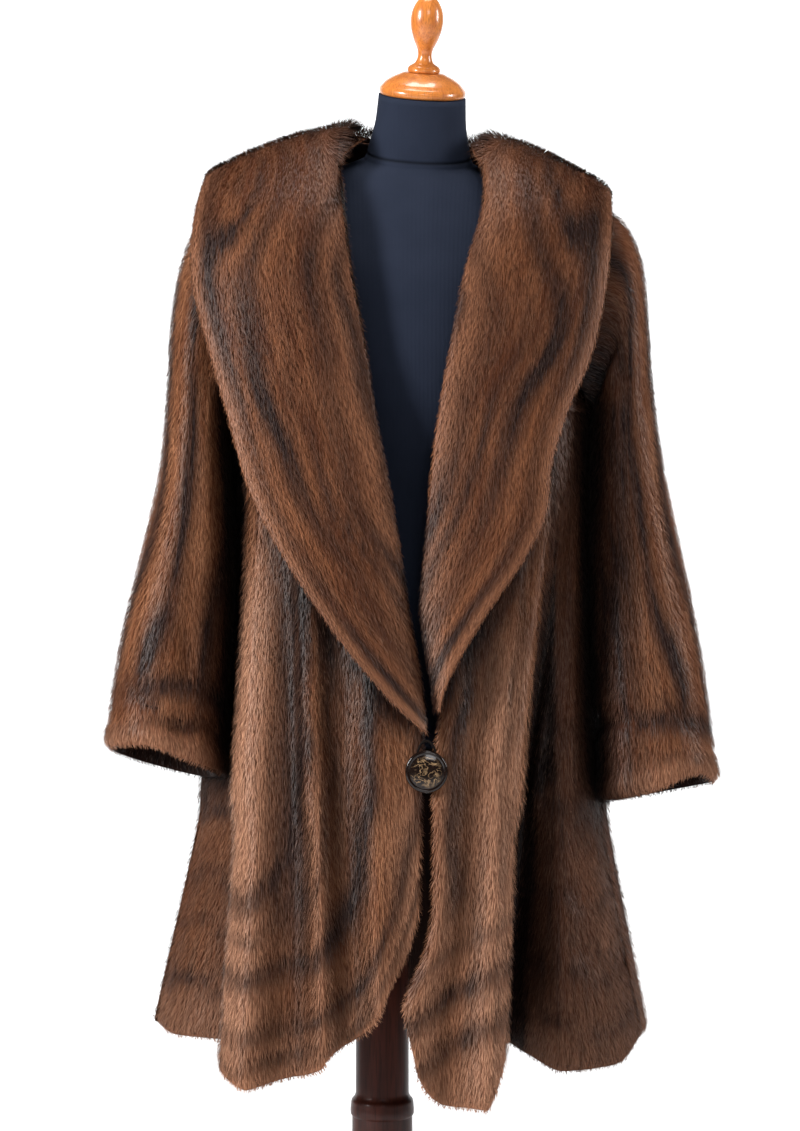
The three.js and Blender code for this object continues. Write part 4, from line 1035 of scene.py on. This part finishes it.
def growFur(name, skin, material, **amounts):
    grower = bpy.data.objects.new(name, skin.data)
    scene.collection.objects.link(grower)
    modifier = grower.modifiers.new("fur", "NODES")
    modifier.node_group = fur
    chosen = {"Hair": blade, "Material": material, **amounts}
    for item in fur.interface.items_tree:
        if item.item_type == "SOCKET" and item.in_out == "INPUT" and item.name in chosen:
            modifier[item.identifier] = chosen[item.name]
    grown = grower.evaluated_get(bpy.context.evaluated_depsgraph_get())
    mesh = bpy.data.meshes.new_from_object(grown)
    mesh.name = name
    bpy.data.objects.remove(grower)
    return addPiece(name, mesh, [], [])


def treeOf(shapes):
    points, polygons = [], []
    for shape in shapes:
        start = len(points)
        points += [tuple(v.co) for v in shape.vertices]
        polygons += [tuple(start + i for i in p.vertices) for p in shape.polygons]
    return BVHTree.FromPolygons(points, polygons)


# Fur that the collar hides isn't grown: a place is hidden if rays meet the collar in four directions
def hideCovered(mesh, cover, reach):
    asides = [Vector(aside) for aside in ((0, 0, 0), (0.7, 0, 0), (-0.7, 0, 0), (0, 0, -0.9))]
    values = np.empty(len(mesh.vertices))
    mesh.attributes["cover"].data.foreach_get("value", values)
    for i in np.nonzero(values > 0)[0]:
        vertex = mesh.vertices[int(i)]
        ways = [(vertex.normal + aside).normalized() for aside in asides]
        if all(cover.ray_cast(vertex.co, way, reach)[0] for way in ways):
            values[i] = 0
    mesh.attributes["cover"].data.foreach_set("value", values)


# How shut in each place of the coat is, from 0 in the open to 1 deep in a fold, kept as the hollow
# attribute for painted shade
def findHollows(distance, turns=18):
    tree = treeOf(skins.values())
    golden = math.pi * (3 - math.sqrt(5))
    ways = []
    for i in range(turns):
        up = 1 - (i + 0.5) / turns * 0.85
        side = math.sqrt(1 - up * up)
        ways.append(Vector((side * math.cos(i * golden), side * math.sin(i * golden), up)))
    for shape in skins.values():
        half = len(shape.vertices) // 2
        values = np.zeros(len(shape.vertices))
        for vertex in list(shape.vertices)[:half]:
            upright = vertex.normal.to_track_quat("Z", "Y").to_matrix()
            start = vertex.co + vertex.normal * 0.004
            shut = 0.0
            for way in ways:
                hit = tree.ray_cast(start, upright @ way, distance)
                if hit[0] is not None:
                    shut += 1 - hit[3] / distance
            # Between body and sleeve the pile meets, so the painted shade is halved there and only the line
            # between them is dark
            between = abs(vertex.co.x - 0.03) > (0.16 if vertex.co.z > 0.72 else 0.13)
            values[vertex.index] = shut / turns * (0.5 if between else 1)
        values = np.clip((values - 0.05) / 0.24, 0, 1)
        # The inside gets painted shade all over
        values[half:] = 0.6
        setFloats(shape, "hollow", values)


findHollows(0.16)
print("hollows")
collarTree = treeOf([skins["collar_left"], skins["collar_right"]])
for hidden in ("back", "front_left", "front_right", "sleeve_left", "sleeve_right"):
    hideCovered(skins[hidden], collarTree, 0.07)
print("covered fur left out")

# Each cut piece: its hairs to a square metre, flat width and length, and the area of the cut
cuts = {
    "back": (126000, (0.92, 1.02), 0.6), "front_left": (236000, (0.5, 1.0), 0.28),
    "front_right": (236000, (0.5, 1.0), 0.29), "sleeve_left": (205000, (0.5, 0.6), 0.22),
    "sleeve_right": (205000, (0.5, 0.6), 0.22), "cuff_facing_left": (160000, (0.46, 0.045), None),
    "cuff_facing_right": (160000, (0.45, 0.042), None), "collar_left": (285000, (0.3, 0.86), 0.145),
    "collar_right": (285000, (0.3, 0.9), 0.16),
}
for seed, (name, skinMesh) in enumerate(skins.items(), 1):
    skin = addPiece(f"skin_{name}", skinMesh, [name], [underFur])
    pile = growFur(f"fur_{name}", skin, furCollar if "collar" in name else furBrown,
                   Density=float(cuts[name][0]), Seed=seed)
    print(name, "hairs", len(pile.data.polygons) // 2, "skin faces", len(skinMesh.polygons))
bpy.data.objects.remove(blade)


# Dress form, button and stand. A closed skin over rings of points, with a point in the middle of each end
def ringMesh(name, rings, ends):
    steps = len(rings[0])
    points = [tuple(point) for ring in rings for point in ring]
    low, high, top = len(points), len(points) + 1, len(points) - steps
    faces = []
    for i in range(steps):
        j = (i + 1) % steps
        faces += [(low, j, i), (high, top + i, top + j)]
        faces += [(r + i, r + j, r + steps + j, r + steps + i) for r in range(0, top, steps)]
    return meshFrom(name, points + [tuple(end) for end in ends], faces)


# A turned profile with its corners kept and the curves between them filled in
def smoothProfile(corners, steps):
    points = [np.array(c[:2], float) for c in corners]
    made = [tuple(points[0])]
    for i in range(len(points) - 1):
        if corners[i][-1] == "line":
            made.append(tuple(points[i + 1]))
            continue
        for s in range(1, steps + 1):
            made.append(tuple(throughPoints(points, i + s / steps)))
    return made


def addTurned(name, sizes, part, material):
    steps, place = sizes["steps"], sizes.get("place", Matrix.Identity(4))
    profile = smoothProfile(sizes["profile"], sizes.get("curveSteps", 6))
    turns = [2 * math.pi * i / steps for i in range(steps)]
    rings = [[place @ (Vector((radius * math.cos(turn), radius * math.sin(turn), z)) * mm)
              for turn in turns] for radius, z in profile[1:-1]]
    ends = [place @ (Vector((0, 0, z)) * mm) for z in (profile[0][1], profile[-1][1])]
    mesh = ringMesh(name, rings, ends)
    mesh.set_sharp_from_angle(angle=math.radians(28))
    addPiece(name, mesh, [part], [material])


def woodMaterial(name, light, dark, roughness, grain, coatWeight, specular):
    material, tree, shader = newMaterial(name)
    rings = noise(tree, 1, 4, stretched(tree, grain), 0.62)
    pores = noise(tree, 1, 2, stretched(tree, tuple(g * 6 for g in grain)), 0.5)
    color = mixColor(tree, spreadOut(tree, rings, 0.42, 3.0, 0, True), light, dark)
    color = mixColor(tree, mathNode(tree, "MULTIPLY_ADD", pores, 2.2, -1.05, True), color,
                     tuple(c * 0.5 for c in dark[:3]) + (1,))
    setInputs(tree, shader, {
        "Base Color": color, "Roughness": roughness, "Coat Weight": coatWeight,
        "Coat Roughness": 0.08, "Specular IOR Level": specular,
        "Normal": bumped(tree, pores, 0.09, 0.0006)})
    return material


beech = woodMaterial("lacquered beech", (0.72, 0.24, 0.045, 1), (0.5, 0.125, 0.018, 1), 0.32,
                     (120, 120, 14), 0.6, 0.5)
mahogany = woodMaterial("polished mahogany", (0.06, 0.014, 0.008, 1), (0.02, 0.006, 0.004, 1), 0.4,
                        (70, 70, 5), 0.12, 0.2)

jersey, tree, shader = newMaterial("knitted jersey")
knit = node(tree, "ShaderNodeTexWave", {"Scale": 220, "Distortion": 0.6, "Vector": objectPlace(tree)},
            wave_type="BANDS", bands_direction="X").outputs["Fac"]
color = mixColor(tree, noise(tree, 30, 3), (0.013, 0.018, 0.033, 1), (0.02, 0.026, 0.045, 1))
color = mixColor(tree, times(tree, attribute(tree, "seam"), 0.8), color, (0.004, 0.005, 0.008, 1))
knitHeight = mathNode(tree, "ADD", knit, noise(tree, 900, 2))
setInputs(tree, shader, {
    "Base Color": color, "Roughness": 0.85, "Specular IOR Level": 0.12,
    "Normal": bumped(tree, knitHeight, 0.35, 0.0005)})

torso = {"bottom": 760, "neckTop": (45, -12, 1488), "lean": 3.7, "neckPitch": 18, "around": 96,
         "roundness": 0.94, "seamLevel": 1423, "seamDepth": 1.1, "seamWidth": 1.6}
torsoRings = rowsOf("z centre half front back shift pitch", [
    (760, 0, 134, 94, 98, 0, 0), (800, 2, 142, 102, 108, 0, 0), (860, 6, 145, 106, 114, 0, 0),
    (940, 11, 128, 100, 100, 0, 0), (1010, 16, 118, 96, 88, 0, 0), (1100, 22, 132, 108, 92, 0, 0),
    (1190, 28, 150, 119, 104, 0, 0), (1270, 33, 162, 112, 108, 0, 0), (1330, 36, 164, 93, 100, 0, 1),
    (1372.5, 38, 152, 75, 84, 0, 3), (1393.6, 39, 120, 66, 74, 0, 7), (1407.6, 40, 84, 60, 64, -1, 12),
    (1416, 41, 62, 56, 58, -2, 18), (1436, 42, 56, 54, 54, -4, 19), (1460, 43.5, 51, 51, 51, -8, 18),
    (1488, 45, 49, 49, 49, -12, 18)])


def torsoMesh():
    bottom, top = torso["bottom"], torso["neckTop"][2]
    levels = np.unique(np.concatenate([
        np.linspace(bottom, 1416, 56), np.linspace(1416, 1432, 17), np.linspace(1432, top, 10)]))
    turn = np.linspace(0, 2 * math.pi, torso["around"], endpoint=False)
    rings, seam = [], []
    for z in levels:
        ring = {key: float(readTable(torsoRings, "z", z, key)) for key in torsoRings}
        roll = math.tan(math.radians(torso["lean"]) * ((z - bottom) / (top - bottom)))
        pitch = math.tan(math.radians(ring["pitch"]))
        groove = math.exp(-(((z - torso["seamLevel"]) / torso["seamWidth"]) ** 2))
        shrink = torso["seamDepth"] * groove
        depth = np.where(np.cos(turn) > 0, ring["front"], ring["back"]) - shrink
        out = (ring["half"] - shrink) * signedPower(np.sin(turn), torso["roundness"])
        forward = -depth * signedPower(np.cos(turn), torso["roundness"])
        rings.append(np.stack([ring["centre"] + out, ring["shift"] + forward,
                               z - out * roll + forward * pitch], axis=-1) * mm)
        seam += [groove] * len(turn)
    mesh = ringMesh("torso", rings, [rings[0].mean(axis=0), rings[-1].mean(axis=0)])
    setFloats(mesh, "seam", seam + [0, 0])
    return mesh


addPiece("form", torsoMesh(), ["torso"], [jersey])
neckTurn = (Matrix.Rotation(math.radians(torso["lean"]), 4, "Y")
            @ Matrix.Rotation(math.radians(torso["neckPitch"]), 4, "X"))
neckAxis = neckTurn @ Vector((0, 0, 1))
capSeat = Vector(torso["neckTop"]) + neckAxis * 0.3
finialSeat = capSeat + neckAxis * 26.3

plate, tree, shader = newMaterial("satin black plate")
color = mixColor(tree, noise(tree, 60, 4), (0.012, 0.012, 0.014, 1), (0.03, 0.03, 0.033, 1))
setInputs(tree, shader, {"Base Color": color, "Roughness": 0.45, "Metallic": 0.5})

# Turned pieces: each row is a radius, a height, and how the profile runs on from there
cap = {"steps": 72, "place": Matrix.Translation(capSeat * mm) @ neckTurn, "profile": [
    (0, 0, "line"), (44, 0, "line"), (47, 0.8, "curve"), (48.4, 3, "curve"), (48.4, 7, "curve"),
    (46, 10.5, "line"), (45.2, 11, "line"), (43, 14, "curve"), (36, 19, "curve"), (27, 23.4, "curve"),
    (20, 26, "line"), (0, 26, "line")]}
addTurned("cap", cap, "neck_cap", beech)
finial = {"steps": 64, "place": Matrix.Translation(finialSeat * mm) @ neckTurn, "profile": [
    (0, 0, "line"), (17, 0, "curve"), (18.6, 2.6, "curve"), (17, 6, "curve"), (10.5, 10.5, "curve"),
    (8, 17, "curve"), (8.4, 24, "curve"), (13.4, 35, "curve"), (17.2, 47, "curve"), (18.3, 58, "curve"),
    (16.4, 69, "curve"), (11, 78.6, "curve"), (5, 83, "curve"), (0, 84, "line")]}
addTurned("top_finial", finial, "finial", beech)
pole = {"steps": 64, "profile": [
    (0, 30.3, "line"), (33, 30.3, "line"), (34, 31.3, "line"), (34, 339, "line"), (35.4, 341, "curve"),
    (35.9, 345, "curve"), (35.4, 352, "curve"), (34.6, 357, "curve"), (31.5, 361, "curve"),
    (30, 366, "line"), (30, 744, "line"), (29.4, 745.4, "line"), (0, 745.4, "line")]}
addTurned("turned_pole", pole, "pole", mahogany)
base = {"steps": 96, "profile": [
    (0, 0, "line"), (206, 0, "line"), (209, 1.6, "curve"), (210, 5, "curve"), (210, 12, "curve"),
    (204, 16.4, "curve"), (188, 19.4, "line"), (186, 20.4, "line"), (140, 24, "curve"),
    (92, 27.2, "curve"), (70, 28, "line"), (66, 30, "line"), (0, 30, "line")]}
addTurned("turned_base", base, "base", mahogany)
poleSocket = {"steps": 64, "profile": [
    (0, 745.7, "line"), (52, 745.7, "line"), (55, 746.6, "line"), (56, 749, "line"),
    (56, 758.6, "line"), (55, 759.6, "line"), (0, 759.6, "line")]}
addTurned("pole_plate", poleSocket, "pole_socket", plate)
print("form and stand")

# Button: a polished marbled disc with a fine rim, on a shank, and the cord round the shank
button = {"x": 47.7, "z": 744.5, "radius": 22.3, "thickness": 7, "shank": 5, "standOff": 3.6,
          "steps": 72, "curveSteps": 5}
loop = {"halfWidth": 10, "halfHeight": 19.5, "radius": 1.4, "around": 72, "section": 12, "plies": 3}
frontY = [panelLine(panel, 0.2, np.float64(button["z"]))[1] for panel in (leftFront, rightFront)]
seatY = min(frontY) - coat["clearance"]
buttonSeat = Vector((button["x"], seatY, button["z"])) * mm

resin, tree, shader = newMaterial("marbled resin")
vein = mathNode(tree, "ABSOLUTE", mathNode(tree, "SUBTRACT", noise(tree, 85, 3, distortion=1.6), 0.5))
veined = mathNode(tree, "MULTIPLY_ADD", vein, -62.0, 1.15, True)
flakes = node(tree, "ShaderNodeTexVoronoi", {"Scale": 260, "Vector": objectPlace(tree)}, feature="F1")
patch = mathNode(tree, "MULTIPLY_ADD", noise(tree, 90, 2), 6.0, -3.1, True)
flaked = times(tree, patch, flakes.outputs["Distance"])
# The veins stop short of the rim
fromMiddle = vectorMath(tree, "DISTANCE", {0: objectPlace(tree), 1: tuple(buttonSeat)}, "Value")
inMiddle = mathNode(tree, "MULTIPLY_ADD", fromMiddle, -260.0, 5.1, True)
gold = times(tree, mathNode(tree, "MAXIMUM", veined, flaked, 0, True), inMiddle)
color = mixColor(tree, noise(tree, 130, 3), (0.003, 0.002, 0.002, 1), (0.016, 0.007, 0.004, 1))
setInputs(tree, shader, {
    "Base Color": mixColor(tree, gold, color, (0.6, 0.38, 0.2, 1)),
    "Metallic": times(tree, gold, 0.55), "Roughness": 0.14, "Specular IOR Level": 0.25,
    "Coat Weight": 0.35, "Coat Roughness": 0.04})
off, rim, shank = button["standOff"], button["radius"], button["shank"]
button["place"] = Matrix.Translation(buttonSeat) @ Matrix.Rotation(math.pi / 2, 4, "X")
button["profile"] = [
    (0, 0, "line"), (shank, 0, "line"), (shank, off, "line"), (19.4, off, "line"),
    (21.4, off + 0.7, "curve"), (rim, off + 2.2, "curve"), (rim, off + 3.8, "curve"),
    (21.4, off + 5.2, "curve"), (19.8, off + 5.7, "curve"), (18.4, off + 5.2, "line"),
    (18, off + 5.0, "line"), (14, off + 6.0, "curve"), (8, off + 6.8, "curve"),
    (0, off + button["thickness"], "line")]
addTurned("coat_button", button, "button", resin)

cord, tree, shader = newMaterial("twisted cord")
ply = node(tree, "ShaderNodeTexWave", {"Scale": 900, "Vector": objectPlace(tree)},
           wave_type="BANDS", bands_direction="DIAGONAL").outputs["Fac"]
setInputs(tree, shader, {
    "Base Color": mixColor(tree, ply, (0.003, 0.002, 0.002, 1), (0.012, 0.008, 0.006, 1)),
    "Roughness": 0.8, "Specular IOR Level": 0.1})


def loopMesh():
    around, section = loop["around"], loop["section"]
    halfWidth, halfHeight = loop["halfWidth"], loop["halfHeight"]
    hub = Vector((button["x"], seatY - coat["clearance"] - loop["radius"],
                  button["z"] - button["shank"] - 2 * coat["clearance"] - loop["radius"] + halfHeight))
    points, faces = [], []
    for i in range(around):
        turn = 2 * math.pi * i / around
        centre = hub + Vector((halfWidth * math.sin(turn), 0, -halfHeight * math.cos(turn)))
        out = Vector((halfHeight * math.sin(turn), 0, -halfWidth * math.cos(turn))).normalized()
        for k in range(section):
            spin = 2 * math.pi * k / section
            radius = loop["radius"] * 0.93 * (1 + 0.1 * math.cos(loop["plies"] * (spin + turn * 9)))
            points.append((centre + (out * math.cos(spin) + Vector((0, math.sin(spin), 0))) * radius) * mm)
            after, beside = (i + 1) % around, (k + 1) % section
            faces.append((i * section + k, i * section + beside, after * section + beside,
                          after * section + k))
    return meshFrom("cord_loop", points, faces)


addPiece("cord_loop", loopMesh(), ["button_loop"], [cord])
print("button and loop")

# Floor with a sweep behind, soft studio lights
stage = {"side": 6, "front": -6, "back": 6, "bend": 1.4, "top": 6, "steps": 12}


def sweepMesh():
    profile = [(stage["front"], 0), (stage["back"], 0)]
    for i in range(1, stage["steps"] + 1):
        turn = math.pi / 2 * i / stage["steps"]
        profile.append((stage["back"] + stage["bend"] * math.sin(turn),
                        stage["bend"] * (1 - math.cos(turn))))
    profile.append((stage["back"] + stage["bend"], stage["top"]))
    points = [(side * stage["side"], y, z) for y, z in profile for side in (-1, 1)]
    faces = [(2 * i, 2 * i + 1, 2 * i + 3, 2 * i + 2) for i in range(len(profile) - 1)]
    return meshFrom("floor", points, faces)


floor = bpy.data.objects.new("floor", sweepMesh())
scene.collection.objects.link(floor)
pale, tree, shader = newMaterial("pale floor")
# The backdrop glows behind the coat, as a lit studio wall does
away = node(tree, "ShaderNodeSeparateXYZ", {0: objectPlace(tree)}).outputs["Y"]
setInputs(tree, shader, {
    "Base Color": (0.9, 0.9, 0.91, 1), "Roughness": 0.7, "Emission Color": (1, 1, 1, 1),
    "Emission Strength": mathNode(tree, "MULTIPLY_ADD", away, 0.72, -0.6, True)})
floor.data.materials.append(pale)

# Each light: its place, what it is aimed at, its width and height, its power
lights = {
    "key": ((-2.4, -1.7, 1.9), (0, 0, 0.9), (0.6, 1.2), 118),
    "rim": ((2.4, -0.5, 1.8), (0.1, 0, 0.9), (0.5, 1.3), 42),
    "fill": ((0.5, -3.3, 2.1), (0.03, 0, 0.9), (1.0, 0.8), 15),
    "top": ((0.05, -0.2, 3.0), (0.03, 0, 1.0), (1.0, 0.6), 22),
}
for name, (place, aim, size, power) in lights.items():
    lamp = bpy.data.lights.new(name, "AREA")
    lamp.shape = "RECTANGLE"
    lamp.size, lamp.size_y = size
    lamp.energy = power
    light = bpy.data.objects.new(name, lamp)
    scene.collection.objects.link(light)
    light.location = place
    light.rotation_euler = (Vector(aim) - Vector(place)).to_track_quat("-Z", "Y").to_euler()
world = bpy.data.worlds.new("studio")
scene.world = world
world.use_nodes = True
background = world.node_tree.nodes["Background"]
background.inputs["Color"].default_value = (1, 1, 1, 1)
background.inputs["Strength"].default_value = 0.09
scene.view_settings.view_transform = "Standard"
scene.view_settings.look = "None"
scene.view_settings.exposure = 0
print("stage and lights")
